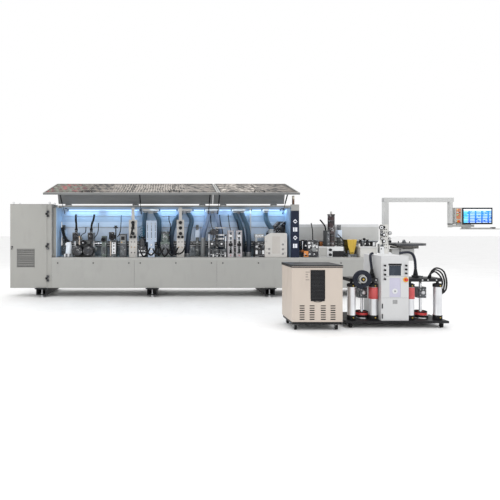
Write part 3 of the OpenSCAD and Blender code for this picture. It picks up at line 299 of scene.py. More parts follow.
@finish
def painted_reflection_pane(name):
    """Glossy dark pane whose colour carries a painted reflection of a workshop: bars, machines and lamps,
    all without meaning.
    """
    g = Graph(name)
    along, deep, _ = g.split()
    wobble = g.noise(3.2, 4.0)
    slanted = along + deep * 0.35 + wobble * 0.22
    bars = slanted.stripes(0.118, 0.40)
    thin = (along + wobble * 0.1).stripes(0.047, 0.34)
    shapes = g.noise(7.5, 5.0, (1.0, 0.8, 1.0))
    spots = shapes.above(0.50, 0.03)
    bright = g.noise(15.0, 5.0, (0.9, 1.2, 1.0)).above(0.585, 0.03)
    middle = along.above(-2.75, 0.25) - along.above(-1.55, 0.2)
    left = 1 - along.above(-3.35, 0.2)
    speckle = along.above(-0.93, 0.12) - along.above(-0.16, 0.12)
    # Painted reflection: the bars, stripes, dark shapes and bright lamp spots blended in below are a
    # workshop's reflection painted into the colour.
    base = g.blend(spots, (0.105, 0.085, 0.068), (0.012, 0.012, 0.013))
    base = g.blend(bars * 0.55, base, (0.20, 0.17, 0.14))
    base = g.blend(thin * middle * 0.75, base, (0.42, 0.38, 0.33))
    base = g.blend(left * shapes.above(0.55, 0.04) * 0.8, base, (0.40, 0.13, 0.13))
    base = g.blend(left * bars * 0.7, base, (0.12, 0.16, 0.12))
    base = g.blend(bright * (speckle * 0.85 + 0.14), base, (0.68, 0.62, 0.54))
    base = g.blend(spots * bright * 0.5, base, (0.010, 0.010, 0.012))
    g.set(base_color=base, roughness=spots * 0.12 + 0.40)
    g.set(normal=g.bumped(g.noise(3.0, 2.0), 0.01, 0.2))
    g.shader.inputs["Specular IOR Level"].default_value = 0.12
    return g.material


@finish
def lamp(name, colour, strength):
    """A lit diffuser, a little dimmer towards its marks."""
    g = Graph(name)
    haze = g.noise(18.0, 3.0)
    g.set(base_color=g.blend(haze, shade(colour, 0.9), colour), roughness=haze * 0.2 + 0.3)
    g.set(emission_color=g.blend(haze, shade(colour, 0.85), colour))
    g.shader.inputs["Emission Strength"].default_value = strength
    return g.material


@finish
def screen(name, low, high):
    """A lit operating screen: blue field, pale bars and blocks, no lettering."""
    g = Graph(name)
    low, high = place(*low), place(*high)
    along, _, up = g.split()
    x = (along - low[0]) * (1.0 / (high[0] - low[0]))
    z = (up - low[2]) * (1.0 / (high[2] - low[2]))
    rows = z.stripes(0.115, 0.45)
    columns = x.stripes(0.23, 0.74)
    blocks = rows * columns * g.cells(14.0, (1.0, 0.0, 2.2)).above(0.30, 0.02)
    header = z.above(0.90, 0.005)
    menu = 1 - x.above(0.14, 0.004)
    base = g.blend(z, (0.005, 0.07, 0.42), (0.01, 0.22, 0.80))
    base = g.blend(blocks * 0.7, base, (0.55, 0.75, 0.95))
    base = g.blend(menu * z.stripes(0.14, 0.7) * 0.8, base, (0.02, 0.45, 0.62))
    base = g.blend(header, base, (0.75, 0.85, 0.95))
    g.set(base_color=base, roughness=blocks * 0.02 + 0.15, emission_color=base)
    g.shader.inputs["Emission Strength"].default_value = 0.95
    return g.material


@finish
def corrugated(name, low, high):
    """Wire-wound dust hose: dull rubbery film with dust, its colour painted lighter towards the top as
    painted light.
    """
    g = Graph(name)
    dust = g.noise(12.0, 4.0).above(0.50, 0.15)
    # Painted light: the film and its dust grow lighter with height, as if lit from above.
    height = g.split()[2].above(1.14, 0.36)
    film = g.blend(height, low, high)
    g.set(base_color=g.blend(dust * 0.35, film, g.blend(height, shade(low, 1.9), shade(high, 1.5))))
    g.set(roughness=dust * 0.25 + 0.42)
    g.set(normal=g.bumped(g.noise(240.0), 0.0006, 0.4))
    return g.material


@finish
def cloth_disc(name):
    """Stitched cotton buffing disc: fuzzy, layered and stained with wax."""
    g = Graph(name)
    layers = g.noise(70.0, 4.0, (1.0, 14.0, 1.0))
    stains = g.noise(18.0, 3.0).above(0.5, 0.2)
    g.set(base_color=g.blend(stains * 0.6, (0.72, 0.68, 0.58), (0.42, 0.34, 0.22)))
    g.set(roughness=layers * 0.1 + 0.88, normal=g.bumped(layers, 0.004, 0.7))
    return g.material


# Finishes used on several units: calling one gives its material.
warm_paint = partial(paint, "warm grey paint", WARM, 0.45)
pale_paint = partial(paint, "pale grey paint", PALE, 0.42)
white_paint = partial(paint, "white paint", WHITE, 0.38)
mid_paint = partial(paint, "mid grey paint", MID, 0.46)
dark_paint = partial(machine_mix, "dark casting paint", DARK, shade(DARK, 2.1))
black_paint = partial(machine_mix, "black machine paint", BLACK, (0.035, 0.037, 0.045))
green_paint = partial(machine_mix, "green grey motor paint", GREEN_GREY, shade(GREEN_GREY, 0.6))
cream_paint = partial(paint, "cream paint", CREAM, 0.40)
black_plastic = partial(plastic, "black plastic", (0.014, 0.014, 0.016))
rubber = partial(plastic, "black rubber", (0.010, 0.010, 0.011), 0.72)
steel = partial(metal, "ground steel", (0.62, 0.63, 0.64), 0.30)
aluminium = partial(metal, "drawn aluminium", (0.74, 0.75, 0.77), 0.34, (12.0, 12.0, 1.0))
chrome = partial(metal, "hard chrome", (0.78, 0.79, 0.81), 0.16)
brass = partial(metal, "brass", GOLD, 0.34)
copper = partial(metal, "copper", COPPER, 0.36)
red_plastic = partial(plastic, "red plastic", RED, 0.30)
yellow_plastic = partial(plastic, "yellow plastic", (0.72, 0.36, 0.02), 0.35)
# The second colour of the hose film is its painted lit top.
hose_film = partial(corrugated, "slate dust hose", SLATE, (0.050, 0.105, 0.165))
cloth_white = partial(plastic, "filter cloth", (0.74, 0.79, 0.85), 0.75)
gold_edge = partial(metal, "gold edge", (0.72, 0.50, 0.12), 0.28)
screen_case = partial(plastic, "screen case", (0.018, 0.018, 0.020), 0.35)
cover_beige = partial(paint, "cover beige", (0.56, 0.545, 0.52), 0.4)
infeed_paint = partial(paint, "infeed paint", (0.585, 0.58, 0.555), 0.42)
brown_lens = partial(plastic, "brown lens", (0.13, 0.06, 0.03), 0.25)
chain_steel = partial(metal, "chain side plate", (0.20, 0.20, 0.21), 0.35)
key_cap = partial(plastic, "key cap", (0.50, 0.50, 0.51), 0.5)
edging = partial(plastic, "edging tape", (0.62, 0.60, 0.56), 0.3)


# ---------------------------------------------------------------- mesh building, in machine mm
class Shape:
    """Collects closed solids in one mesh, each with the finish that is current."""

    def __init__(self, material):
        self.bm = bmesh.new()
        self.materials = [material]
        self.current = 0

    def use(self, material):
        if material not in self.materials:
            self.materials.append(material)
        self.current = self.materials.index(material)
        return self

    def box(self, x, y, z, edge=1.5):
        size = (x[1] - x[0], y[1] - y[0], z[1] - z[0])
        centre = ((x[0] + x[1]) / 2, (y[0] + y[1]) / 2, (z[0] + z[1]) / 2)
        matrix = Matrix.Translation(centre) @ Matrix.Diagonal((*size, 1.0))
        result = bmesh.ops.create_cube(self.bm, size=1.0, matrix=matrix)
        width = min(edge, min(size) * 0.3)
        edges = set()
        for vert in result["verts"]:
            edges.update(vert.link_edges)
        bevelled = bmesh.ops.bevel(self.bm, geom=list(edges), offset=width, segments=1, affect="EDGES",
            profile=0.5)
        faces = set(bevelled["faces"])
        for vert in bevelled["verts"]:
            faces.update(vert.link_faces)
        for face in faces:
            face.material_index = self.current
        return self

    def _face(self, verts, smooth=False):
        face = self.bm.faces.new(verts)
        face.material_index = self.current
        face.smooth = smooth

    def _skin(self, rings):
        """Joins the rings into a tube and caps both ends."""
        for low, high in zip(rings, rings[1:]):
            for k in range(len(low)):
                m = (k + 1) % len(low)
                self._face((low[k], low[m], high[m], high[k]), True)
        self._face(reversed(rings[0]))
        self._face(rings[-1])
        return self

    def lathe(self, centre, axis, profile, sides=24):
        """A turned solid: profile is [(distance along the axis, radius)], open ends are capped."""
        turn = Vector(UP).rotation_difference(Vector(axis)).to_matrix()
        rings = []
        for along, radius in profile:
            ring = []
            for k in range(sides):
                angle = 2 * math.pi * k / sides
                local = Vector((radius * math.cos(angle), radius * math.sin(angle), along))
                ring.append(self.bm.verts.new(Vector(centre) + turn @ local))
            rings.append(ring)
        return self._skin(rings)

    def stud(self, at, radius, length, end, tip, sides, axis=FRONT):
        """A turned stud: straight over its length, then tapering to the tip radius at its end."""
        return self.lathe(at, axis, [(0, radius), (length, radius), (end, tip)], sides)

    def rod(self, start, end, radius, sides=20, edge=1.0):
        start = Vector(start)
        length = (Vector(end) - start).length
        bevel = min(edge, radius * 0.3, length * 0.3)
        profile = [(0, radius - bevel), (bevel, radius), (length - bevel, radius), (length, radius - bevel)]
        return self.lathe(start, (Vector(end) - start).normalized(), profile, sides)

    def sweep(self, route, radius, sides=10, ribs=0.0, pitch=12.0):
        """A tube along a smooth route. With ribs the radius swells once every pitch."""
        line = smooth_route(route, pitch / 2 if ribs else 24.0)
        rings = []
        side = None
        for index, point in enumerate(line):
            ahead = line[min(index + 1, len(line) - 1)] - line[max(index - 1, 0)]
            ahead.normalize()
            if side is None:
                side = ahead.orthogonal().normalized()
            side = (side - ahead * side.dot(ahead)).normalized()
            other = ahead.cross(side)
            grown = radius - (ribs if index % 2 else 0.0)
            rings.append([self.bm.verts.new(point + grown * (
                math.cos(2 * math.pi * k / sides) * side + math.sin(2 * math.pi * k / sides) * other))
                          for k in range(sides)])
        return self._skin(rings)

    def slab(self, outline, y):
        """A flat plate: outline in X and Z, between two depths."""
        front = [self.bm.verts.new((x, y[0], z)) for x, z in outline]
        back = [self.bm.verts.new((x, y[1], z)) for x, z in outline]
        count = len(outline)
        self._face(front)
        self._face(list(reversed(back)))
        for k in range(count):
            self._face((front[(k + 1) % count], front[k], back[k], back[(k + 1) % count]))
        return self

    def ring(self, centre, axis, radius, thick, turns=28, sides=10):
        """A torus."""
        turn = Vector(UP).rotation_difference(Vector(axis)).to_matrix()
        grid = []
        for i in range(turns):
            a = 2 * math.pi * i / turns
            row = []
            for k in range(sides):
                b = 2 * math.pi * k / sides
                reach = radius + thick * math.cos(b)
                local = Vector((reach * math.cos(a), reach * math.sin(a), thick * math.sin(b)))
                row.append(self.bm.verts.new(Vector(centre) + turn @ local))
            grid.append(row)
        for i in range(turns):
            for k in range(sides):
                j = (i + 1) % turns
                m = (k + 1) % sides
                self._face((grid[i][k], grid[j][k], grid[j][m], grid[i][m]), True)
        return self

    def mesh(self, name):
        bmesh.ops.recalc_face_normals(self.bm, faces=self.bm.faces)
        for vert in self.bm.verts:
            vert.co = place(*vert.co)
        data = bpy.data.meshes.new(name)
        self.bm.to_mesh(data)
        self.bm.free()
        for material in self.materials:
            data.materials.append(material)
        return data

    def piece(self, name, body="frame", slot=None, replaces=()):
        return add_piece(name, self.mesh(name), body, replaces)


def add_piece(name, data, body, replaces=()):
    made = bpy.data.objects.new(name, data)
    bpy.context.scene.collection.objects.link(made)
    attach(made, body)
    if replaces:
        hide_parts(*replaces)
    return made


def smooth_route(route, step):
    """Points a step apart along a Catmull-Rom curve through the route."""
    points = [Vector(p) for p in route]
    points = [points[0] * 2 - points[1]] + points + [points[-1] * 2 - points[-2]]
    line = []
    for i in range(1, len(points) - 2):
        a, b, c, d = points[i - 1:i + 3]
        count = max(2, round((c - b).length / step))
        for k in range(count):
            t = k / count
            line.append(0.5 * (2 * b + (c - a) * t + (2 * a - 5 * b + 4 * c - d) * t * t + (
                3 * b - a - 3 * c + d) * t ** 3))
    line.append(points[-2])
    return line


def repeat_tree():
    """Geometry Nodes: one small part repeated along a line."""
    tree = bpy.data.node_groups.new("repeat along line", "GeometryNodeTree")
    face = tree.interface
    face.new_socket("Geometry", in_out="INPUT", socket_type="NodeSocketGeometry")
    for label, kind in (("Count", "NodeSocketInt"), ("Step", "NodeSocketVector"),
                        ("Finish", "NodeSocketMaterial")):
        face.new_socket(label, in_out="INPUT", socket_type=kind)
    face.new_socket("Geometry", in_out="OUTPUT", socket_type="NodeSocketGeometry")
    nodes = tree.nodes
    start = nodes.new("NodeGroupInput")
    line = nodes.new("GeometryNodeMeshLine")
    copies = nodes.new("GeometryNodeInstanceOnPoints")
    real = nodes.new("GeometryNodeRealizeInstances")
    paint_all = nodes.new("GeometryNodeSetMaterial")
    end = nodes.new("NodeGroupOutput")
    link = tree.links.new
    link(start.outputs["Count"], line.inputs["Count"])
    link(start.outputs["Step"], line.inputs["Offset"])
    link(line.outputs[0], copies.inputs["Points"])
    link(start.outputs["Geometry"], copies.inputs["Instance"])
    link(copies.outputs[0], real.inputs[0])
    link(real.outputs[0], paint_all.inputs["Geometry"])
    link(start.outputs["Finish"], paint_all.inputs["Material"])
    link(paint_all.outputs[0], end.inputs[0])
    return tree


def repeated(name, shape, rows, material, body="frame"):
    """The shape repeated along each step of rows in turn: [(count, step in machine mm)]."""
    tree = bpy.data.node_groups.get("repeat along line") or repeat_tree()
    data = shape.mesh(name + "_one")
    for count, step in rows:
        holder = bpy.data.objects.new(name + "_holder", data)
        bpy.context.scene.collection.objects.link(holder)
        modifier = holder.modifiers.new("repeat", "NODES")
        modifier.node_group = tree
        keys = {item.name: item.identifier for item in tree.interface.items_tree if item.in_out == "INPUT"}
        modifier[keys["Count"]] = count
        modifier[keys["Step"]] = [s / 1000.0 for s in step]
        modifier[keys["Finish"]] = material
        bpy.context.view_layer.update()
        shown = holder.evaluated_get(bpy.context.evaluated_depsgraph_get())
        data = bpy.data.meshes.new_from_object(shown)
        bpy.data.objects.remove(holder)
    data.name = name
    return add_piece(name, data, body)


def body_of_node(node):
    for body, nodes in frame["record"]["behaviour"]["bodies"].items():
        if node in nodes:
            return body
    raise RuntimeError("no body holds " + node)


def dress(node, material):
    """Gives a CAD node its finish, without touching its mesh."""
    data = frame["nodes"][node].data
    data.materials.clear()
    data.materials.append(material)


# In metres, and radians for the angle: how close vertices merge, how flat faces join into one, and
# how far a face may stand outside a zone that holds it.
MERGE = 0.00005
FLAT = 0.02
MARGIN = 0.0012


def repaint(node, default, zones=(), edge=0.0012):
    """A merged copy of a CAD node, with a finish for each zone: [(x, y, z, material)] in machine mm."""
    source = frame["nodes"][node].data
    bm = bmesh.new()
    bm.from_mesh(source)
    bmesh.ops.remove_doubles(bm, verts=bm.verts, dist=MERGE)
    bmesh.ops.dissolve_limit(bm, angle_limit=FLAT, verts=bm.verts, edges=bm.edges)
    materials = list(dict.fromkeys([default] + [zone[3] for zone in zones]))
    spans = [(place(x[0], y[0], z[0]), place(x[1], y[1], z[1]), material) for x, y, z, material in zones]
    for face in bm.faces:
        face.material_index = 0
        for low, high, material in spans:
            if all(low[i] - MARGIN <= vert.co[i] <= high[i] + MARGIN for vert in face.verts
                   for i in range(3)):
                face.material_index = materials.index(material)
                break
    data = bpy.data.meshes.new(node + "_looks")
    bm.to_mesh(data)
    bm.free()
    for material in materials:
        data.materials.append(material)
    made = add_piece(node + "_looks", data, body_of_node(node), replaces=(node,))
    if edge:
        bevel = made.modifiers.new("edges", "BEVEL")
        bevel.width = edge
        bevel.segments = 2
        bevel.limit_method = "ANGLE"
        bevel.angle_limit = math.radians(40)
        bevel.use_clamp_overlap = True
    return made


# ---------------------------------------------------------------- parts used on several units
def motor(shape, base, axis, length, radius, body, cap):
    """A ribbed electric motor with a fan cowl, standing on its flange."""
    axis = Vector(axis).normalized()
    base = Vector(base)
    profile = [(0, radius * 0.98), (10, radius * 0.98), (10, radius * 0.86)]
    ribs = max(4, int(length * 0.6 / 16))
    step = length * 0.62 / ribs
    for k in range(ribs):
        start = 14 + k * step
        profile += [(start, radius * 0.88), (start, radius * 0.98), (start + step * 0.45, radius * 0.98),
                    (start + step * 0.45, radius * 0.88)]
    end = 14 + ribs * step
    profile += [(end, radius * 0.88), (end + 4, radius)]
    shape.use(body).lathe(base, axis, profile, 28)
    start = base + axis * (end + 4)
    rest = length - end - 4
    shape.use(cap).lathe(start, axis, [
        (0, radius), (rest * 0.8, radius), (rest, radius * 0.72), (rest - 2, radius * 0.66),
        (rest - 6, radius * 0.3)], 28)
    return shape


def knob(shape, at, axis, radius, depth, material):
    """A star knob with a recessed centre."""
    shape.use(material).lathe(at, axis, [
        (0, radius * 0.55), (depth * 0.35, radius * 0.55), (depth * 0.45, radius), (depth * 0.9, radius),
        (depth, radius * 0.85), (depth * 0.96, radius * 0.35)], 12)
    return shape


def screw():
    """A hexagon socket screw, its axis along -Y and its seat at the origin."""
    shape = Shape(steel())
    shape.lathe((0, 0, 0), FRONT, [(0, 5.5), (3.6, 5.5), (5, 4.4), (5, 2.6), (2.4, 2.4)], 8)
    return shape


def moved(shape, offset):
    for vert in shape.bm.verts:
        vert.co += Vector(offset)
    return shape


def screw_grid(name, corner, rows, body="frame", material=None, size=1.0):
    shape = screw()
    for vert in shape.bm.verts:
        vert.co *= size
    return repeated(name, moved(shape, corner), rows, material or steel(), body)


# ---------------------------------------------------------------- settings a user would change
class EdgeBanderSizes(bpy.types.PropertyGroup):
    """Sizes of the visible details."""

    hose_rib: bpy.props.FloatProperty(name="Hose rib", description="Depth of the dust hoses' ribs",
        default=0.005, unit="LENGTH", min=0.001, max=0.012)
    hose_pitch: bpy.props.FloatProperty(name="Hose pitch",
        description="Distance between the dust hoses' ribs", default=0.022, unit="LENGTH", min=0.012,
        max=0.05)
    screw_size: bpy.props.FloatProperty(name="Screw size", description="Scale of the cover screws",
        default=1.0, min=0.6, max=2.0)
    lens_height: bpy.props.FloatProperty(name="Eye height",
        description="Height of the camera above the floor", default=1.28, unit="LENGTH", min=0.3, max=3.0)


class EdgeBanderLights(bpy.types.PropertyGroup):
    """Light levels."""

    room: bpy.props.FloatProperty(name="Room", description="Strength of the surrounding light", default=1.0,
                                  min=0.0, max=4.0)
    inside: bpy.props.FloatProperty(name="Inside", description="Power of each light in the enclosure",
        default=1.6, subtype="POWER", min=0.0, max=400.0)
    tint: bpy.props.FloatVectorProperty(name="Inside tint",
        description="Colour of the light in the enclosure", default=(0.50, 0.75, 1.0), subtype="COLOR",
        size=3, min=0.0, max=1.0)


def sizes():
    return bpy.context.scene.edge_bander_sizes


def lights():
    return bpy.context.scene.edge_bander_lights


# ---------------------------------------------------------------- operators
class EDGEBANDER_OT_camera(bpy.types.Operator):
    """Sets up the level front camera"""

    bl_idname = "edgebander.camera"
    bl_label = "Camera"

    def execute(self, context):
        data = bpy.data.cameras.new("front camera")
        data.lens = 31.13
        data.sensor_width = 36.0
        data.shift_x = 0.16
        data.shift_y = -0.044
        camera = bpy.data.objects.new("front camera", data)
        camera.location = place(2188, -8450, sizes().lens_height * 1000)
        camera.rotation_euler = (math.radians(90), 0, 0)
        context.scene.collection.objects.link(camera)
        context.scene.camera = camera
        return {"FINISHED"}


def build_bed():
    repaint("bed_frame", warm_paint())
    repaint("lower_covers", paint("cover paint", (0.35, 0.35, 0.335), 0.45))
    repaint("support_feet", paint("black foot paint", (0.02, 0.021, 0.023), 0.5), edge=0.002)
    dress("levelling_bolts", steel())
    count = 4
    width = BED_L / count
    front = -451.0
    for k in range(count):
        screw_grid("apron_screws_%d" % k, (k * width + 110, front, DECK - 101),
                   [(3, ((width - 210) / 2, 0, 0))], size=sizes().screw_size * 2.2,
                   material=plastic("dark screw", (0.05, 0.05, 0.055), 0.5))
    seams = Shape(dark_paint())
    for k in range(1, count):
        seams.box((k * width - 1.2, k * width + 1.2), (-450.7, -449.9), (204, DECK - 53), 0.2)
    # deck ledge strip, a band along the top of the aprons, and the anchor heads of the feet
    seams.piece("apron_seams", slot="dark")
    # deck ledge strip and the small cover plates on the aprons
    ledge = Shape(pale_paint())
    ledge.box((4, 4420), (-446, -404), deck(0.2, 3))
    ledge.box((0.5, BED_L - 0.5), (-452, -450), deck(-51, -1), 0.6)
    ledge.piece("bed_ledge", slot="pale")
    plates = Shape(steel())
    for x in (-187, 1858, 4033, 6054):
        for y in (-460, 568):
            for side in (-106, 106):
                plates.stud((x + side, y, 170), 12, 7, 9, 10, 6, UP)
    plates.piece("anchor_heads", slot="steel")


class EDGEBANDER_OT_bed(bpy.types.Operator):
    """Finishes the welded bed, its aprons, feet and levelling bolts"""

    bl_idname = "edgebander.bed"
    bl_label = "Bed"

    def execute(self, context):
        build_bed()
        return {"FINISHED"}


def build_cabinet():
    repaint("cabinet_shell", warm_paint(), edge=0.003)
    repaint("cabinet_door", warm_paint(), [((-115, -60), (-480, -448), (200, 1700), black_plastic())],
            0.0015)
    repaint("cabinet_hinges", black_paint(), edge=0.0015)
    front = -448.3
    reveal = Shape(warm_paint())
    reveal.box((-95, -80), (-440, -436.2), (176, 1719), 0.5)
    reveal.use(dark_paint()).box((-3, 1), (-443.5, -440.2), (174, 1722), 0.4)
    reveal.piece("cabinet_reveal", slot="warm")
    grey = paint("louvre paint", (0.17, 0.17, 0.165), 0.5)
    vent = Shape(grey)
    low_x, high_x, low_z, high_z = -646.0, -317.0, 555.0, 896.0
    for x, z in (((low_x, high_x), (low_z, low_z + 12)), ((low_x, high_x), (high_z - 12, high_z)),
                 ((low_x, low_x + 12), (low_z, high_z)), ((high_x - 12, high_x), (low_z, high_z))):
        vent.box(x, (front - 5, front), z)
    vent.piece("vent_frame", "door", "mid")
    slat = Shape(grey)
    slat.slab([(low_x + 12, low_z + 16), (high_x - 12, low_z + 16), (high_x - 12, low_z + 20),
               (low_x + 12, low_z + 20)], (front - 5, front + 4))
    for vert in slat.bm.verts:
        if vert.co.y < front:
            vert.co.z -= 7
    repeated("vent_slats", slat, [(21, (0, 0, 15.2))], grey, "door")
    lock = Shape(black_plastic())
    lock.stud((-736, front, 930), 17, 5, 8, 14, 24)
    lock.box((-742, -730), (front - 14, front - 6), (880, 940), 4)
    lock.use(chrome()).lathe((-736, front - 14, 925), FRONT, [(0, 6), (2, 5)], 16)
    lock.piece("door_lock", "door", "black_plastic")
    seal = Shape(rubber())
    seal.box((-756, -104), (front + 8.0, front + 8.2), (182, 184))
    seal.piece("door_seal", "door", "rubber")
    eyes = Shape(steel())
    for x in (-720, -50):
        for y in (-400, -60):
            eyes.stud((x, y, 1724), 14, 6, 8, 11, 20, UP)
            eyes.ring((x, y, 1748), (0, 1, 0), 16, 5, 20, 8)
    eyes.piece("lifting_eyes", slot="steel")
    gear = Shape(mid_paint())
    plate = -78.0
    for row, z in enumerate((520, 820, 1120, 1400)):
        gear.use(aluminium()).box((-680, -140), (plate - 8, plate), (z - 4, z + 31), 1)
        x = -670
        for k, width in enumerate((54, 54, 90, 36, 36, 72, 54, 72, 36)):
            material = (dark_paint(), pale_paint(), black_plastic())[(k + row) % 3]
            gear.use(material).box((x, x + width - 4), (plate - 90 - 14 * ((k + row) % 2), plate - 8),
                (z - 42, z + 68), 3)
            x += width
    for z in (410, 665, 965, 1260, 1520):
        gear.use(mid_paint()).box((-700, -124), (plate - 60, plate), (z, z + 44), 2)
    gear.piece("switchgear", slot="mid")


class EDGEBANDER_OT_cabinet(bpy.types.Operator):
    """Finishes the electrical cabinet, with its louvre, lock and hinges"""

    bl_idname = "edgebander.cabinet"
    bl_label = "Electrical cabinet"

    def execute(self, context):
        build_cabinet()
        return {"FINISHED"}


def build_enclosure():
    # The pale blue of the inner walls is painted light: it stands in for the light of the enclosure's tube
    # lamps on them.
    lamp_lit_wall = paint("inner wall paint", (0.40, 0.54, 0.72), 0.40)
    post = machine_mix("dark post paint", (0.06, 0.07, 0.075), (0.10, 0.115, 0.115))
    repaint("uprights", lamp_lit_wall, [((84, 170), (-90, -10), (DECK, 1500), post),
                              ((2670, 2764), (-90, -10), (DECK, 1500), post),
                              ((5430, 5520), (-90, -10), (DECK, 1500), dark_paint()),
                              ((3744, 3768), (-44, 17), (DECK, 1700), white_paint())])
    repaint("back_wall", pale_paint(), [
        ((69, 4431), (14, 20), (1400, 1690), lamp_lit_wall), ((100, 4400), (-142, 17), (1500, 1667), black_paint()),
        ((100, 4400), (-10, 62), (1719, 1760), black_paint())])
    repaint("corner_column", paint("navy column paint", NAVY, 0.36),
            [((4425, 4582), (-452, 100), (1599, 1720), pale_paint()),
             ((4430, 4580), (-399, 100), (DECK, 1720), pale_paint())])
    repaint("light_bars", lamp("tube diffuser", (0.50, 0.72, 1.0), 0.55))
    repaint("signal_tower", black_plastic(), [((4400, 4600), (-400, -200), (1697, 1819),
        lamp("amber lens", (0.62, 0.30, 0.04), 0.35)),
        ((4400, 4600), (-400, -200), (1815, 1900), brown_lens())])
    tower = Shape(black_plastic())
    for z in (1698, 1738, 1778, 1816, 1880):
        tower.lathe((4511, -300, z - 3), UP, [(0, 22.4), (1, 23.4), (5, 23.4), (6, 22.4)], 28)
    tower.use(brown_lens()).lathe((4511, -300, 1699), UP, [(0, 22.6), (115, 22.6)], 28)
    tower.use(plastic("cream lens", (0.55, 0.50, 0.42), 0.3)).lathe((4511, -300, 1817), UP,
        [(0, 22.6), (64, 22.6)], 28)
    tower.piece("signal_tower_rings", slot="black_plastic")
    # The marks glow faintly through the lamp finish, though they are no lamps: painted light.
    marks = Shape(lamp("pale mark", (0.78, 0.80, 0.86), 0.25))
    face = (-452, -450.2)
    for z in (1404, 1100):
        marks.slab([(4504, z + 40), (4544, z), (4530, z), (4504, z + 20), (4478, z), (4464, z)], face)
        marks.slab([(4464, z - 4), (4478, z - 4), (4504, z - 24), (4530, z - 4), (4544, z - 4),
                    (4504, z - 42)], face)
    for z in (1252, 950):
        for x in (4466, 4494, 4522):
            marks.box((x, x + 19), face, (z - 38, z + 38), 0.6)
    marks.use(pale_paint()).box((4429.5, 4578.5), (-451.6, -399), (1600, 1716), 1)
    marks.piece("column_marks", slot="pale")
    trims = Shape(white_paint())
    trims.box((2, 4576), (13, 19), (1716, 1721), 1)
    trims.use(steel())
    trims.box((72, 4428), (8, 15.5), (1512, 1516), 0.8)
    trims.use(pale_paint()).box((2, 60), (-352, -346), (DECK + 3.5, 1665), 1)
    trims.piece("header_trim", slot="pale")
    # The skirt's pale blue is painted light from the tube lamps above it.
    skirt = Shape(paint("skirt paint", (0.60, 0.74, 0.92), 0.40))
    skirt.box((72, 4428), (17.4, 19.8), (1302, 1401), 0.6)
    skirt.piece("wall_skirt", slot="pale")
    rail = Shape(dark_paint())
    for z in (1371, 1290):
        rail.box((72, 4428), (27, 29.6), (z, z + 5), 0.5)
    rail.piece("beam_seams", "beam", "dark")
    ends = Shape(black_plastic())
    for x in ((200, 1600), (1990, 2320), (2640, 2870), (3144, 3384), (3780, 3980), (4110, 4340)):
        ends.box((x[0] - 6, x[0] + 10), (-9, 15), (1612, 1646), 2)
        ends.box((x[1] - 10, x[1] + 6), (-9, 15), (1612, 1646), 2)
    ends.piece("light_bar_ends", slot="black_plastic")


class EDGEBANDER_OT_enclosure(bpy.types.Operator):
    """Finishes the end walls, header, corner column, lights and signal tower"""

    bl_idname = "edgebander.enclosure"
    bl_label = "Enclosure"

    def execute(self, context):
        build_enclosure()
        return {"FINISHED"}


HOOD_AXIS = (20.0, 1735.0)
HOOD_BEND = math.radians(85.0)
HOOD_OPEN = math.radians(-70.0)


def on_hood(shape):
    """Turns a shape drawn as (along, down the front plate, inwards) onto the open hood."""
    for vert in shape.bm.verts:
        x, s, t = vert.co
        y = -420 - s * math.cos(HOOD_BEND) + t * math.sin(HOOD_BEND)
        z = -s * math.sin(HOOD_BEND) - t * math.cos(HOOD_BEND)
        vert.co = (x, HOOD_AXIS[0] + y * math.cos(HOOD_OPEN) - z * math.sin(HOOD_OPEN),
                   HOOD_AXIS[1] + y * math.sin(HOOD_OPEN) + z * math.cos(HOOD_OPEN))
    return shape


def build_hoods():
    sheet = streaked("hood sheet", (0.185, 0.19, 0.19))
    for side, x, count in (("left", (8.0, 3020.0), 4), ("right", (3030.0, 4418.0), 2)):
        body = "hood_" + side
        repaint(side + "_hood", sheet, edge=0.001)
        # The window panes carry a painted reflection in their colour.
        repaint(side + "_windows", painted_reflection_pane("hood window"), edge=0.001)
        width = (x[1] - x[0] - 80 - (count - 1) * 36) / count
        gasket = Shape(rubber())
        for k in range(count):
            a = x[0] + 40 + k * (width + 36)
            b = a + width
            for span, down in (((a - 8, b + 8), (52, 62)), ((a - 8, b + 8), (876, 886)),
                               ((a - 8, a + 2), (52, 886)), ((b - 2, b + 8), (52, 886))):
                gasket.use(rubber()).box(span, down, (-5, -0.5), 1)
            if k < count - 1:
                gasket.use(painted_reflection_pane("hood window")).box((b + 8, b + 28), (53, 885), (-3.2, -0.3), 0.5)
        for down in ((3, 52), (887, 925)):
            gasket.use(painted_reflection_pane("hood window")).box((x[0] + 17, x[1] - 17), down, (-2.4, -0.3), 0.5)
        on_hood(gasket).piece(side + "_window_gaskets", body, "rubber")
        handle = Shape(black_plastic())
        for share in (0.25, 0.75) if side == "left" else (0.5,):
            c = x[0] + (x[1] - x[0]) * share
            handle.box((c - 90, c + 90), (916, 926), (-34, -24), 3)
            for e in (-84, 84):
                handle.box((c + e - 9, c + e + 9), (912, 930), (-30, -0.5), 3)
        on_hood(handle).piece(side + "_hood_handles", body, "alu")
        lip = Shape(pale_paint())
        lip.box((x[0] + 4, x[1] - 4), (926, 947.5), (-1.6, -0.3), 0.4)
        for e in (x[0] + 0.5, x[1] - 16.5):
            lip.box((e, e + 16), (4, 926), (-1.6, -0.3), 0.4)
        on_hood(lip).piece(side + "_hood_lip", body, "pale")
        ribs = Shape(mid_paint())
        for k in range(1, count):
            c = x[0] + 40 + k * (width + 36) - 18
            ribs.box((c - 12, c + 12), (24, 918), (4.3, 22), 2)
        on_hood(ribs).piece(side + "_hood_ribs", body, "mid")
        repaint(side + "_strut_rods", metal("strut rod", (0.045, 0.045, 0.05), 0.25), edge=0)
        repaint(side + "_strut_cylinders", plastic("strut tube", (0.016, 0.016, 0.018), 0.32), edge=0)


class EDGEBANDER_OT_hoods(bpy.types.Operator):
    """Finishes both lift-up hoods, their windows, handles and gas struts"""

    bl_idname = "edgebander.hoods"
    bl_label = "Hoods"

    def execute(self, context):
        build_hoods()
        return {"FINISHED"}


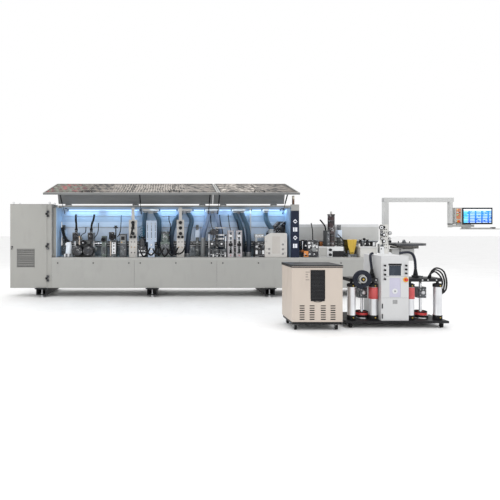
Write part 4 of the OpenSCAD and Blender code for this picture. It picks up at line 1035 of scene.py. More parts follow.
def build_conveyor():
    repaint("chain_track", machine_mix("track side", (0.30, 0.34, 0.37), (0.19, 0.215, 0.24)))
    repaint("conveyor_chain", rubber(), edge=0)
    repaint("drive_sprocket", metal("blackened steel", (0.16, 0.16, 0.17), 0.4), edge=0)
    # Painted light: the beam's pale blue stands in for the light of the enclosure's tube lamps on it.
    beam = paint("beam paint", (0.66, 0.76, 0.90), 0.36)
    repaint("pressure_beam", beam, [((60, 6290), (31, 260), (1340, 1362),
        paint("beam top paint", (0.20, 0.27, 0.38), 0.5)),
        ((60, 6290), (50, 80), (1000, 1030), mid_paint()),
        ((60, 6290), (190, 215), (1000, 1030), mid_paint())])
    repaint("pressure_rollers", rubber(), edge=0)
    strip = Shape(white_paint())
    strip.box((172, 6108), (54, 59.6), (925, 947), 1)
    strip.use(dark_paint()).box((172, 6108), (56, 59.8), (900, 922), 1)
    strip.box((172, 6090), (222, 227), (945, 974), 1)
    strip.piece("track_strip", slot="pale")
    cap = Shape(white_paint())
    cap.box((4584, 6280), (26.5, 29.8), (1300, 1351), 0.8)
    cap.use(paint("right beam paint", (0.53, 0.535, 0.525), 0.4)).box((4584, 6280), (27.5, 29.8),
        (1030, 1299), 0.8)
    for x in (4800, 5240, 5680, 6120):
        cap.use(steel()).stud((x, 27.4, 1120), 11, 4, 6, 8, 6)
    cap.piece("beam_covers", "beam", "pale")
    bar = Shape(dark_paint())
    bar.box((172, 6108), (49, 54), (984, 1000), 1)
    for k in range(11):
        bar.box((190 + 590 * k, 204 + 590 * k), (49.5, 53.5), (999, 1026), 0.6)
    bar.piece("roller_bar", "beam", "dark")
    screw_grid("beam_screws", (200, 29.5, 1334), [(20, (214, 0, 0))], "beam", size=1.5)
    rail = Shape(aluminium())
    rail.box((180, 6090), (205, 222), (930, 944), 1)
    rail.piece("chain_guides", slot="alu")
    link = Shape(chain_steel())
    link.box((182, 232), (66.5, 69.5), (914, 928), 2)
    repeated("chain_plates", link, [(98, (60, 0, 0))], chain_steel())
    axle = Shape(steel())
    axle.stud((130, 54.8, 1010), 9, 4, 5, 7, 8)
    repeated("roller_nuts", moved(axle, (0, -4.6, 0)), [(62, (100, 0, 0))], steel(), "beam")


class EDGEBANDER_OT_conveyor(bpy.types.Operator):
    """Finishes the panel conveyor and the pressure beam"""

    bl_idname = "edgebander.conveyor"
    bl_label = "Panel conveyor"

    def execute(self, context):
        build_conveyor()
        return {"FINISHED"}


def build_buffing():
    shell = metal("motor shell", (0.016, 0.014, 0.020), 0.38)
    repaint("buffing_unit", mid_paint(), [
        ((195, 355), (-340, -180), deck(-1, 280), cloth_white()),
        ((340, 770), (-350, -140), deck(300, 512), black_paint()),
        ((340, 765), (-370, -158), deck(10, 222), black_paint()),
        ((500, 620), (-350, -150), deck(224, 306), black_paint()),
        ((370, 740), (-131, -55), (DECK + 90, 1100), steel()),
        ((749, 906), (-270, -230), deck(238, 275), chrome()),
        ((900, 995), (-335, -185), deck(-1, 400), green_paint())])
    unit = Shape(black_paint())
    for x in (450, 655):
        motor(unit, over(x, -158, 118), FRONT, 206, 102, shell, black_plastic())
        unit.use(black_plastic()).box((x - 34, x + 34), (-300, -230), deck(210, 246), 6)
    for x in (355, 641):
        unit.use(black_plastic()).box((x + 12, x + 97), (-334, -330), deck(330, 440), 3)
        unit.use(black_paint()).lathe(over(x + 54, -334, 396), FRONT, [(0, 30), (4, 30), (6, 25), (5, 12)],
            28)
        unit.use(rubber()).lathe(over(x + 54, -240, 503), UP,
                                 [(0, 27), (10, 30), (20, 27), (30, 30), (34, 24)], 20)
    # dark eye-shaped cover between the heads, with the chrome nose of the shaft
    unit.use(black_plastic()).lathe(over(560, -340, 270), FRONT, [(0, 44), (8, 48), (20, 40), (26, 18)], 28)
    unit.use(chrome()).lathe(over(560, -366, 270), FRONT, [(0, 17), (8, 12), (12, 5)], 20)
    unit.use(cream_paint()).box((478, 500), (-346, -330), deck(225, 395), 4)
    unit.use(yellow_plastic()).stud(over(489, -346, 380), 9, 8, 10, 6, 16)
    for x in (372, 732):
        unit.use(aluminium()).box((x - 12, x + 12), (-176, -162), deck(20, 312), 2)
        for z in (60, 140, 220, 290):
            unit.use(steel()).stud(over(x, -176, z), 7, 4, 5, 5, 6)
    unit.use(chrome()).lathe(over(820, -250, 256), (1, 0, 0), [(0, 22), (12, 24), (30, 24), (40, 22)], 24)
    unit.use(green_paint())
    motor(unit, over(947, -325, 330), FRONT, 60, 44, green_paint(), black_plastic())
    unit.use(dark_paint()).box((915, 980), (-334, -329), deck(60, 200), 3)
    for z in (90, 130, 170):
        unit.use(black_plastic()).stud(over(947, -334, z), 8, 6, 8, 6, 12)
    # block of valves beside the cone
    for k in range(4):
        unit.use((aluminium(), dark_paint())[k % 2]).box((206 + 34 * k, 234 + 34 * k), (-372, -352),
            deck(4, 64), 3)
    unit.piece("buffing_details", slot="black")
    lines = Shape(rubber())
    lines.sweep([(118, -120, 1280), (150, -170, 1180), (190, -215, 1090), (238, -250, 1040),
                 (272, -262, 1016)], 30, 14, 3.0, 12.0)
    lines.sweep([over(480, -265, 246), over(486, -282, 330), over(520, -250, 420), over(560, -140, 460),
                 over(566, -100, 560)], 8, 8)
    lines.sweep([over(690, -265, 246), over(700, -290, 300), over(770, -240, 380), over(800, -120, 470),
                 over(804, -60, 640)], 8, 8)
    lines.sweep([over(409, -240, 530), over(404, -220, 620), over(380, -150, 720), over(372, -90, 800)], 20,
                12, 2.4, 10.0)
    lines.sweep([over(695, -240, 530), over(700, -220, 620), over(716, -150, 700), over(724, -90, 800)], 20,
                12, 2.4, 10.0)
    lines.piece("buffing_lines", slot="rubber")
    for node in ("buff_wheel_upper", "buff_wheel_lower"):
        repaint(node, steel(), [((300, 800), (-67.5, -25), (800, 1150), cloth_disc("buffing cotton"))],
                0.003)


class EDGEBANDER_OT_buffing(bpy.types.Operator):
    """Finishes the buffing station at the outfeed end"""

    bl_idname = "edgebander.buffing"
    bl_label = "Buffing unit"

    def execute(self, context):
        build_buffing()
        return {"FINISHED"}


def build_scraping():
    # The plate's blue is painted light from the enclosure's tube lamps.
    plate = metal("blue lit plate", (0.44, 0.52, 0.64), 0.36, (14.0, 14.0, 0.6))
    repaint("scraper_unit", mid_paint(), [
        ((1744, 1942), (-402, -392), deck(280, 690), plate),
        ((1778, 1902), (-395, -328), deck(-1, 502), plate),
        ((2008, 2182), (-372, -208), deck(-1, 287), green_paint()),
        ((2018, 2172), (-368, -212), deck(285, 483), green_paint()),
        ((1598, 1742), (-402, -248), deck(-1, 332), black_paint()),
        ((1060, 1182), (-342, -158), deck(-1, 322), dark_paint()),
        ((1030, 1190), (-390, -222), deck(320, 574), black_paint()),
        ((1248, 1372), (-382, -178), deck(-1, 438), paint("dark unit box", (0.07, 0.075, 0.085), 0.4))])
    unit = Shape(green_paint())
    motor(unit, over(2095, -290, 286), UP, 198, 78, green_paint(), dark_paint())
    unit.use(dark_paint()).box((2020, 2170), (-380, -369), deck(40, 240), 3)
    unit.use(steel())
    for x in (2036, 2154):
        for z in (56, 224):
            unit.stud(over(x, -380, z), 7, 4, 5, 5, 6)
    unit.use(black_plastic()).box((2136, 2184), (-330, -250), deck(330, 400), 5)
    # adjusting wheel and counters of the scraper
    unit.use(black_paint()).lathe(over(1670, -325, 328), UP, [(0, 52), (8, 60), (18, 60), (24, 44)], 28)
    knob(unit, over(1670, -325, 350), UP, 34, 30, black_plastic())
    for k, x in enumerate((1620, 1664, 1708)):
        unit.use((chrome(), white_paint(), chrome())[k]).stud(over(x, -402, 120), 15, 10, 14, 9, 20)
    unit.use(white_paint()).box((1610, 1730), (-404, -400), deck(20, 70), 2)
    # slots and bolts of the upright plates
    for x in (1770, 1842, 1914):
        unit.use(dark_paint()).box((x - 5, x + 5), (-402.5, -399), deck(330, 640), 2)
        for z in (350, 480, 620):
            unit.use(steel()).stud(over(x, -402, z), 11, 5, 7, 8, 6)
    for z in (70, 150, 230):
        unit.use(chrome()).stud(over(1840, -395, z), 20, 8, 12, 14, 24)
    # knob post with its wing
    unit.use(black_plastic()).box((1118, 1202), (-266, -234), deck(542, 566), 8)
    knob(unit, over(1160, -250, 566), UP, 30, 26, black_plastic())
    motor(unit, over(1105, -298, 376), FRONT, 92, 57, black_paint(), black_plastic())
    unit.use(cream_paint()).box((1066, 1084), (-352, -340), deck(20, 300), 3)
    unit.use(aluminium()).box((1098, 1172), (-350, -340), deck(60, 280), 3)
    for z in (90, 150, 210, 260):
        unit.use(black_plastic()).stud(over(1135, -350, z), 13, 8, 10, 9, 20)
    # control box with a window and two keys
    unit.use(mid_paint()).box((1262, 1358), (-386, -380), deck(250, 410), 3)
    unit.use(black_plastic()).box((1276, 1344), (-388, -384), deck(320, 390), 3)
    for x in (1288, 1332):
        unit.use(yellow_plastic() if x < 1300 else black_plastic()).stud(over(x, -386, 280), 9, 6, 7, 7, 16)
    unit.use(dark_paint()).box((1262, 1358), (-384, -380), deck(50, 210), 3)
    unit.piece("scraper_details", slot="mid")
    lines = Shape(rubber())
    lines.use(plastic("teal air line", (0.02, 0.14, 0.22), 0.35))
    for k in range(3):
        lines.sweep([(1606 + 14 * k, -236, 1300 - 50 * k), (1650, -262, 1322 - 50 * k),
                     (1700, -240, 1270 - 46 * k), (1676, -250, 1190 - 40 * k), (1622, -262, 1140 - 40 * k),
                     (1640, -300, 960)], 6, 8)
    lines.use(rubber())
    for k in range(5):
        lines.sweep([(1604 + 22 * k, -232, 1130 - 14 * k), (1622 + 20 * k, -250, 1030),
                     (1650 + 12 * k, -300, 950), (1650 + 10 * k, -330, 870)], 15, 8)
    for k in range(6):
        x = 1700 + 130 * k
        low = 752 + 22 * (k % 3)
        lines.sweep([(x - 90, -386, 900 + 20 * (k % 2)), (x - 60, -402, 830), (x, -412, low),
                     (x + 70, -402, 820 + 12 * (k % 2)), (x + 120, -384, 915)], 14, 10)
    lines.sweep([over(2160, -300, 400), over(2190, -320, 500), over(2200, -260, 600), over(2170, -120, 690),
                 over(2165, -60, 780)], 9, 8)
    lines.sweep([over(1190, -300, 376), over(1230, -300, 420), over(1250, -240, 520), over(1244, -120, 640),
                 over(1240, -50, 790)], 8, 8)
    lines.piece("scraper_lines", slot="rubber")


class EDGEBANDER_OT_scraping(bpy.types.Operator):
    """Finishes the scraper station, its plates, motor and cables"""

    bl_idname = "edgebander.scraping"
    bl_label = "Scraper unit"

    def execute(self, context):
        build_scraping()
        return {"FINISHED"}


def build_regulators():
    repaint("regulator_columns", paint("regulator column paint", (0.60, 0.585, 0.56), 0.42),
            [((1300, 2600), (-347, -306.4), deck(300, 700), black_plastic())], 0.001)
    heads = Shape(black_plastic())
    for c in (1492.0, 2384.5):
        for z in (647, 546, 443):
            knob(heads, over(c, -345, z), FRONT, 33, 24, black_plastic())
        for s in (-1, 1):
            knob(heads, over(c + 34 * s, -345, 377), FRONT, 27, 26, black_plastic())
        for z in (284, 186, 85):
            for s in (-1, 1):
                heads.use(mid_paint()).lathe(over(c + 30 * s, -306, z), FRONT,
                    [(0, 11), (8, 11), (12, 8), (11, 4)], 20)
                heads.use(yellow_plastic() if z == 186 else black_plastic()).stud(over(c + 30 * s, -316, z),
                    7, 6, 7, 5, 16)
        for z in (324, 232, 132, 36):
            heads.use(steel()).box((c - 62, c + 62), (-307.4, -305.6), deck(z, z + 3), 0.5)
    heads.piece("regulator_heads", slot="black_plastic")
    tubes = Shape(plastic("blue air tube", (0.02, 0.16, 0.50), 0.35))
    for c in (1492.0, 2384.5):
        for k, z in enumerate((647, 546, 443)):
            tubes.sweep([over(c - 10, -300, z), over(c - 14, -270, z - 10),
                         over(c - 40 + 14 * k, -230, z + 60), over(c - 30 + 14 * k, -120, 800),
                         over(c - 26 + 14 * k, -60, 880)], 4, 6)
        for s in (-1, 1):
            tubes.sweep([over(c + 30 * s, -300, 85), over(c + 34 * s, -270, 70), over(c + 44 * s, -220, 40),
                         over(c + 50 * s, -150, 10)], 4, 6)
    tubes.piece("air_tubes", slot="navy")


class EDGEBANDER_OT_regulators(bpy.types.Operator):
    """Finishes the two columns of air regulators"""

    bl_idname = "edgebander.regulators"
    bl_label = "Regulator columns"

    def execute(self, context):
        build_regulators()
        return {"FINISHED"}


def build_trimming():
    repaint("trimming_unit", dark_paint(), [
        ((3048, 3102), (-302, -178), deck(149, 572), white_paint()),
        ((3099, 3232), (-332, -178), deck(328, 432), chrome()),
        ((2998, 3052), (-302, -238), deck(328, 362), chrome()),
        ((2898, 3242), (-390, -160), deck(151, 600), black_paint())])
    repaint("corner_unit", paint("corner head paint", (0.42, 0.40, 0.42), 0.4),
            [((3280, 3350), (-390, -240), deck(140, 220), black_paint()),
             ((3440, 3510), (-390, -240), deck(140, 220), black_paint()),
             ((3371.6, 3420.4), (-391, -309), deck(-1, 331), black_paint()),
             ((3260, 3532), (-251, -178), deck(-1, 252), dark_paint())])
    unit = Shape(black_paint())
    for x, z, r, front in ((2970, 250, 67, 386), (3150, 250, 67, 386), (3000, 470, 62, 330)):
        motor(unit, over(x, -180, z), FRONT, front - 180, r, black_paint(), dark_paint())
        unit.use(chrome()).stud(over(x, -front, z), 20, 6, 8, 15, 20)
    for k in range(9):
        x = 2906 + 37 * k
        tall = (96, 140, 70, 128, 84, 146, 60, 118, 90)[k]
        unit.use((chrome(), black_plastic(), white_paint(), black_plastic())[k % 4]).box(
            (x, x + 14 + 6 * (k % 3)), (-412, -400), (DECK + 8 + 9 * (k % 2), DECK + tall), 3)
        unit.use((black_plastic(), chrome())[k % 2]).stud((x + 9, -412, DECK + 40 + 13 * (k % 3)), 9, 4, 6,
            6, 12)
    for z in (180, 260, 340, 420, 500):
        unit.use(steel()).stud(over(3075, -302, z), 10, 5, 7, 7, 6)
    for z in (330, 400):
        for x in (3124, 3168, 3210):
            unit.use(black_plastic()).stud(over(x, -332, z + 15), 9, 8, 9, 7, 16)
    unit.use(chrome()).rod(over(2916, -380, 160), over(2916, -380, 440), 9)
    unit.use(chrome()).rod(over(3226, -380, 160), over(3226, -380, 400), 9)
    knob(unit, over(2916, -380, 440), UP, 26, 24, black_plastic())
    knob(unit, over(3226, -380, 400), UP, 26, 24, black_plastic())
    unit.use(aluminium()).box((3040, 3240), (-330, -314), deck(540, 556), 2)
    unit.piece("trimming_details", slot="black")
    corner = Shape(chrome())
    for x in (3317, 3475):
        motor(corner, over(x, -252, 180), FRONT, 128, 33, black_paint(), dark_paint())
        for side in (-26, 26):
            corner.use(chrome()).rod(over(x + side, -404, 90), over(x + side, -404, 460), 6)
        corner.use(black_plastic()).box((x - 36, x + 36), (-416, -398), deck(210, 262), 4)
        corner.use(aluminium()).box((x - 40, x + 40), (-412, -396), deck(306, 326), 3)
        corner.use(black_paint()).box((x - 22, x + 22), (-390, -310), deck(350, 450), 5)
        corner.use(chrome()).lathe(over(x, -390, 400), FRONT, [(0, 26), (8, 26), (10, 20), (6, 8)], 28)
        for z in (20, 50):
            for side in (-30, 30):
                corner.use(steel()).stud(over(x + side, -402, z), 8, 4, 6, 6, 6)
        corner.use(red_plastic()).stud(over(x, -402, 36), 8, 8, 10, 6, 16)
    corner.piece("corner_details", slot="chrome")
    lines = Shape(rubber())
    for x, z in ((2970, 250), (3150, 250), (3317, 180), (3475, 180)):
        lines.sweep([over(x + 20, -300, z + 60), over(x + 34, -320, z + 130), over(x + 30, -250, z + 260),
                     over(x + 10, -140, 620), over(x, -60, 800)], 8, 8)
    lines.piece("trimming_lines", slot="rubber")


class EDGEBANDER_OT_trimming(bpy.types.Operator):
    """Finishes the trimming motors and the corner rounding heads"""

    bl_idname = "edgebander.trimming"
    bl_label = "Trimming and corner units"

    def execute(self, context):
        build_trimming()
        return {"FINISHED"}


def build_end_trim():
    repaint("end_trim_frame", paint("unit box", (0.40, 0.42, 0.43), 0.4),
            [((3952, 4369), (-401, -329), deck(-1, 454), cover_beige()),
             ((3768, 3952), (-402, -258), deck(-1, 287), black_paint()),
             ((4060, 4432), (-71, -13), deck(399, 672), black_paint()),
             ((4059, 4160), (-290, -190), deck(380, 500), rubber()),
             ((4020, 4460), (-60, -10), deck(440, 760), metal("guide rail", (0.30, 0.31, 0.33), 0.3))])
    carriage = machine_mix("saw carriage paint", (0.045, 0.048, 0.055), (0.02, 0.02, 0.024))
    for side in ("front", "rear"):
        repaint("end_trim_saw_" + side, carriage)
    unit = Shape(cover_beige())
    unit.use(paint("cover inset", (0.50, 0.475, 0.445), 0.4)).box((4090, 4240), (-403, -400.2),
        deck(70, 390), 4)
    for x, heights in ((4035, (76, 156)), (4290, (66, 150, 240))):
        for z in heights:
            unit.use(paint("grey key", (0.24, 0.24, 0.24), 0.4)).stud(over(x, -400, z), 20, 5, 8, 14, 24)
    # drives standing in the black housing beside the cover
    for k, x in enumerate((3800, 3862, 3924)):
        unit.use((chrome(), black_plastic(), dark_paint())[k]).stud(over(x, -402, 200), 22, 10, 14, 15, 24)
        unit.use((white_paint(), dark_paint(), white_paint())[k]).box((x - 20, x + 20), (-406, -400),
            deck(60, 130), 3)
    unit.use(steel()).box((3780, 3944), (-338, -330), deck(372, 424), 2)
    for x in (3804, 3862, 3920):
        unit.use(chrome()).stud(over(x, -338, 398), 15, 10, 14, 10, 20)
    unit.piece("end_trim_details", slot="warm")
    guide = Shape(plastic("diagonal guide", (0.012, 0.014, 0.020), 0.4))
    guide.slab([(4243, 1178), (4550, 1440), (4550, 1520), (4243, 1245)], (-66, -52))
    guide.use(white_paint()).slab([(4243, 1262), (4550, 1536), (4550, 1544), (4243, 1270)], (-66, -56))
    for k in range(5):
        guide.use(steel()).stud((4270 + 62 * k, -66, 1238 + 53 * k), 8, 5, 6, 6, 6)
    guide.piece("end_trim_guide", slot="dark")


class EDGEBANDER_OT_end_trim(bpy.types.Operator):
    """Finishes the end trimming cover, guides and saws"""

    bl_idname = "edgebander.end_trim"
    bl_label = "End trimming unit"

    def execute(self, context):
        build_end_trim()
        return {"FINISHED"}


def build_gluing():
    hopper = machine_mix("hopper paint", (0.045, 0.022, 0.024), (0.014, 0.014, 0.016))
    repaint("glue_unit", dark_paint(), [
        ((4960, 5429), (-382, -101), deck(-1, 197), white_paint()),
        ((5140, 5210), (-403, -380.2), deck(20, 170), black_plastic()),
        ((5126, 5192), (-332, -148), deck(196, 502), paint("slate box", (0.07, 0.075, 0.078), 0.45)),
        ((5190, 5340), (-275, -125), deck(196, 812), hopper),
        ((5240, 5290), (-225, -175), deck(808, 860), pale_paint()),
        ((5065, 5175), (-101, -5), deck(-1, 122), steel())])
    repaint("glue_roller", copper(), edge=0.001)
    repaint("press_roller_unit", mid_paint(), [
        ((4668, 4952), (-402, -169), deck(-1, 302), black_paint()),
        ((4755, 4945), (-405, -399.9), deck(168, 224), white_paint()),
        ((4655, 4735), (-331, -189), deck(89, 127), copper()),
        ((4650, 4880), (-80, -12), deck(119, 302), rubber())])
    repaint("press_roller", steel(), [((4890, 5060), (-165, 10), deck(209, 262), rubber())], 0.001)
    repaint("premill_unit", dark_paint(), [((5520, 5716), (-301, -99), deck(56.2, 330), brass())], 0.001)
    for node in ("premill_cutter_1", "premill_cutter_2"):
        repaint(node, steel(), edge=0.001)
    unit = Shape(black_paint())
    for k, x in enumerate((4700, 4790, 4870)):
        unit.use((chrome(), white_paint(), chrome())[k]).stud(over(x, -400, 60), 14, 12, 16, 9, 20)
    unit.use(white_paint()).box((4756, 4800), (-406, -400), deck(246, 288), 3)
    unit.use(pale_paint()).box((4846, 4938), (-406, -400), deck(110, 146), 3)
    unit.use(chrome()).rod(over(4686, -300, 126), over(4686, -300, 300), 12)
    unit.use(chrome()).rod(over(4712, -240, 126), over(4712, -240, 260), 12)
    knob(unit, over(4686, -300, 300), UP, 24, 22, black_plastic())
    for x in (4760, 4850, 4930):
        unit.use(dark_paint()).box((x - 18, x + 18), (-390, -200), deck(300, 318), 3)
        unit.use(steel()).stud(over(x, -300, 318), 11, 12, 16, 8, 16, UP)
    # cover box of the glue pot: slot lips, hand wheels and hinges
    unit.use(black_plastic()).box((5222, 5426), (-383, -380.4), deck(6, 118), 2)
    for z in (50, 140):
        knob(unit, over(5172, -402, z), FRONT, 26, 24, black_plastic())
    unit.use(pale_paint()).box((4974, 5120), (-383, -380.2), deck(14, 182), 3)
    for x in (4990, 5104):
        for z in (30, 166):
            unit.use(steel()).stud(over(x, -383, z), 6, 3, 4, 4, 6)
    # hopper bands and clamps
    for z in (260, 400, 540, 680, 790):
        unit.use(dark_paint()).lathe(over(5262, -200, z), UP, [(0, 64.5), (1, 66), (9, 66), (10, 64.5)], 32)
    unit.use(dark_paint()).box((5136, 5182), (-338, -331), deck(230, 470), 3)
    for z in (250, 350, 450):
        unit.use(steel()).stud(over(5159, -338, z), 8, 4, 5, 6, 6)
    # cutter motors under the chip funnel
    for x in (5580, 5664):
        unit.use(dark_paint()).stud(over(x, -250, 56), 34, 60, 64, 28, 24, UP)
    unit.use(gold_edge()).box((5528, 5709), (-302.5, -299.8), deck(318, 328), 1)
    unit.use(brass()).slab([(5530, DECK + 320), (5707, DECK + 320), (5690, DECK + 190), (5650, DECK + 84),
                            (5590, DECK + 84), (5546, DECK + 190)], (-302, -299.6))
    for x in (5572, 5618, 5664):
        unit.use(gold_edge()).box((x - 2, x + 2), (-303, -301.5), deck(110, 310), 0.6)
    # press side: heater box, dial and the row of pale sensor heads
    unit.use(plastic("orange cover", (0.62, 0.22, 0.05), 0.4)).box((4680, 4762), (-408, -400), deck(8, 116),
        5)
    unit.use(black_plastic()).box((4696, 4746), (-410, -407), deck(24, 48), 3)
    unit.use(mid_paint()).lathe(over(4865, -401, 146), FRONT, [(0, 42), (8, 42), (12, 30), (10, 12)], 28)
    for x in (4713, 4802, 4882):
        unit.use(white_paint()).box((x - 14, x + 14), (-410, -400), deck(202, 230), 4)
    unit.piece("gluing_details", slot="black")
    for number, x in ((1, 5580), (2, 5664)):
        teeth = Shape(brass())
        for k in range(6):
            a = math.pi / 3 * k
            cx, cy = x + 33 * math.cos(a), -46 + 33 * math.sin(a)
            teeth.box((cx - 2.0, cx + 2.0), (cy - 2.0, cy + 2.0), (916, 972), 0.5)
        teeth.piece("cutter_teeth_%d" % number, "cutter_%d" % number)
    lines = Shape(rubber())
    lines.sweep([over(5159, -200, 500), over(5150, -180, 580), over(5120, -110, 660), over(5110, -40, 700)],
                14, 10)
    lines.sweep([over(4900, -240, 318), over(4910, -200, 420), over(4930, -120, 520), over(4934, -40, 640)],
                10, 8)
    lines.sweep([over(5420, -300, 150), over(5450, -330, 220), over(5462, -240, 330), over(5440, -90, 420)],
                9, 8)
    lines.piece("gluing_lines", slot="rubber")


class EDGEBANDER_OT_gluing(bpy.types.Operator):
    """Finishes the pre-milling, glue and press roller stations"""

    bl_idname = "edgebander.gluing"
    bl_label = "Gluing stations"

    def execute(self, context):
        build_gluing()
        return {"FINISHED"}


def build_infeed():
    light = infeed_paint()
    repaint("infeed_table", light, [
        ((5700, 6070), (-340, -200), deck(200.2, 310), black_plastic()),
        ((5722, 6068), (-21, -7), deck(200, 227), steel())])
    repaint("tape_feeder", light, [((6120, 6180), (-451, -430), deck(270, 600), black_plastic()),
        ((6160, 6230), (-423, -329), deck(150, 540), black_plastic()),
        ((6082, 6152), (-421, -329), deck(79, 252), mid_paint())])
    coil = paint("edging coil", (0.014, 0.014, 0.016), 0.5)
    tray = metal("tray sheet", (0.10, 0.103, 0.11), 0.34)
    repaint("coil_tray", tray, [((6400, 7000), (-400, 200), (890, 950.95), coil),
                                ((6570, 6840), (-240, 20), (990.8, 1030), black_plastic())])
    unit = Shape(black_plastic())
    for x in (5800, 5930):
        knob(unit, over(x, -250, 300), UP, 30, 26, black_plastic())
        unit.use(chrome()).lathe(over(x, -250, 268), UP, [(0, 26), (6, 28), (10, 26)], 24)
    unit.use(chrome()).box((5996, 6054), (-336, -330), deck(210, 280), 3)
    unit.use(aluminium()).box((5740, 6040), (-404, -400.2), deck(184, 196), 1)
    for x in (5750, 5894, 6036):
        unit.use(steel()).stud(over(x, -380, 90), 9, 4, 5, 7, 6)
    unit.use(black_plastic()).rod(over(5871, -250, 199), over(5871, -250, 312), 6, 12)
    unit.lathe(over(5871, -250, 310), UP, [(0, 8), (6, 21), (24, 27), (42, 21), (48, 8)], 20)
    unit.piece("infeed_details", slot="black_plastic")
    feed = Shape(white_paint())
    for z in (420, 300):
        feed.use(chrome()).lathe(over(6150, -450, z), FRONT, [(-1, 20), (3, 20), (5, 12)], 24)
        feed.use(black_plastic()).lathe(over(6150, -432, z), FRONT, [(0, 33), (3, 34), (5, 33)], 28)
    # guide wheels on both edges of the plate, with their arms
    for x, z, r in ((6104, 556, 44), (6262, 451, 33), (6258, 350, 22), (6110, 350, 24)):
        feed.use(aluminium()).box((min(x, 6225), max(x, 6095)), (-436, -430), deck(z - 9, z + 9), 2)
        feed.use(black_plastic()).lathe(over(x, -436, z), FRONT, [(0, r), (4, r + 1), (12, r)], 28)
        feed.use(white_paint()).lathe(over(x, -448, z), FRONT, [(0, r * 0.72), (2, r * 0.72)], 28)
        feed.use(black_plastic()).lathe(over(x, -450, z), FRONT, [(0, r * 0.3), (3, r * 0.22)], 16)
    knob(feed, over(6262, -430, 297), FRONT, 26, 22, black_plastic())
    feed.use(aluminium()).box((6232, 6262), (-430, -424), deck(290, 304), 1)
    for z in (180, 236, 390, 470, 520):
        for x in (6165, 6200):
            feed.use(black_plastic() if z > 300 else dark_paint()).lathe(over(x, -430, z), FRONT,
                [(-1, 9), (6, 9), (7, 6)], 12)
    feed.use(black_paint()).box((6086, 6134), (-438, -430), deck(400, 500), 6)
    feed.use(black_plastic()).rod(over(6100, -434, 390), over(6148, -434, 190), 6, 10)
    feed.use(dark_paint()).box((6090, 6144), (-434, -421), deck(92, 240), 4)
    feed.use(white_paint()).box((6080, 6156), (-442, -434), deck(34, 200), 4)
    feed.use(black_plastic()).stud(over(6102, -442, 160), 11, 5, 7, 7, 16)
    feed.use(white_paint()).slab([(6244, DECK + 8), (6330, DECK + 8), (6330, DECK + 40), (6290, DECK + 96),
                                  (6244, DECK + 96)], (-420, -360))
    feed.piece("feeder_details", slot="pale")
    tape = Shape(edging())
    tape.sweep([over(6492, -238, 190), over(6380, -330, 205), over(6260, -372, 228), over(6228, -380, 230),
                over(6204, -380, 226), over(6160, -380, 262), over(6150, -380, 340)], 5, 6)
    tape.piece("edging_tape", slot="pale")
    winding = Shape(coil)
    for k in range(8):
        winding.use((coil, edging())[k % 4 == 2]).lathe((6700, -112, 894 + 6.5 * k), UP,
            [(0, 245.3), (1, 247), (5, 247), (6, 245.3)], 48)
    winding.piece("tape_windings", "coil", "black")
    rim = Shape(steel())
    rim.ring((6700, -112, 988), UP, 366.5, 3.4, 64, 8)
    rim.use(dark_paint()).lathe((6700, -112, 991), UP, [(0, 46), (10, 46), (14, 38), (60, 20), (64, 14)],
                                28)
    rim.piece("tray_rim", "coil", "steel")


class EDGEBANDER_OT_infeed(bpy.types.Operator):
    """Finishes the infeed table, the tape feeder and the coil tray"""

    bl_idname = "edgebander.infeed"
    bl_label = "Infeed end"

    def execute(self, context):
        build_infeed()
        return {"FINISHED"}


def build_hoses():
    repaint("duct_boxes", white_paint(), [
        ((1600, 3720), (-280, -40), deck(-1, 400), mid_paint()),
        ((1600, 4200), (80, 200), (1500, 1650), steel())], 0.002)
    routes = dust_routes()
    hoses = Shape(hose_film())
    # This film, too, is painted lighter towards the top as painted light.
    pale_film = corrugated("pale hose film", (0.05, 0.075, 0.13), (0.24, 0.33, 0.50))
    rib = sizes().hose_rib * 1000
    pitch = sizes().hose_pitch * 1000
    for k, route in enumerate(routes):
        hoses.use(pale_film if k in (4, 5) else hose_film()).sweep(route, 47.4, 20, rib, pitch)
    hoses.piece("ribbed_hoses", slot="hose", replaces=("dust_hoses",))
    clamps = Shape(steel())
    for route in routes:
        x, y, z = route[-1]
        clamps.lathe((x, y, z + 2), UP, [(0, 48.5), (1, 50), (11, 50), (12, 48.5)], 28)
        clamps.box((x + 44, x + 62), (y - 8, y + 8), (z + 3, z + 13), 2)
        x, y, z = route[0]
        clamps.lathe((x, y, z - 24), UP, [(0, 48.5), (1, 50), (11, 50), (12, 48.5)], 28)
    clamps.piece("hose_clamps", slot="steel")
    edges = Shape(white_paint())
    for a, b in ((1652, 1966), (2344, 2608), (2880, 3134), (3396, 3642), (3994, 4100)):
        edges.use(white_paint()).box((a - 2, b + 2), (-111, -108), (1636, 1651), 1)
        edges.use(dark_paint()).box((a + 10, b - 10), (-109.5, -107.8), (1606, 1609), 0.5)
    edges.piece("duct_edges", slot="pale")


class EDGEBANDER_OT_hoses(bpy.types.Operator):
    """Makes the ribbed dust hoses and finishes the ducts they hang from"""

    bl_idname = "edgebander.hoses"
    bl_label = "Dust hoses"

    def execute(self, context):
        build_hoses()
        return {"FINISHED"}


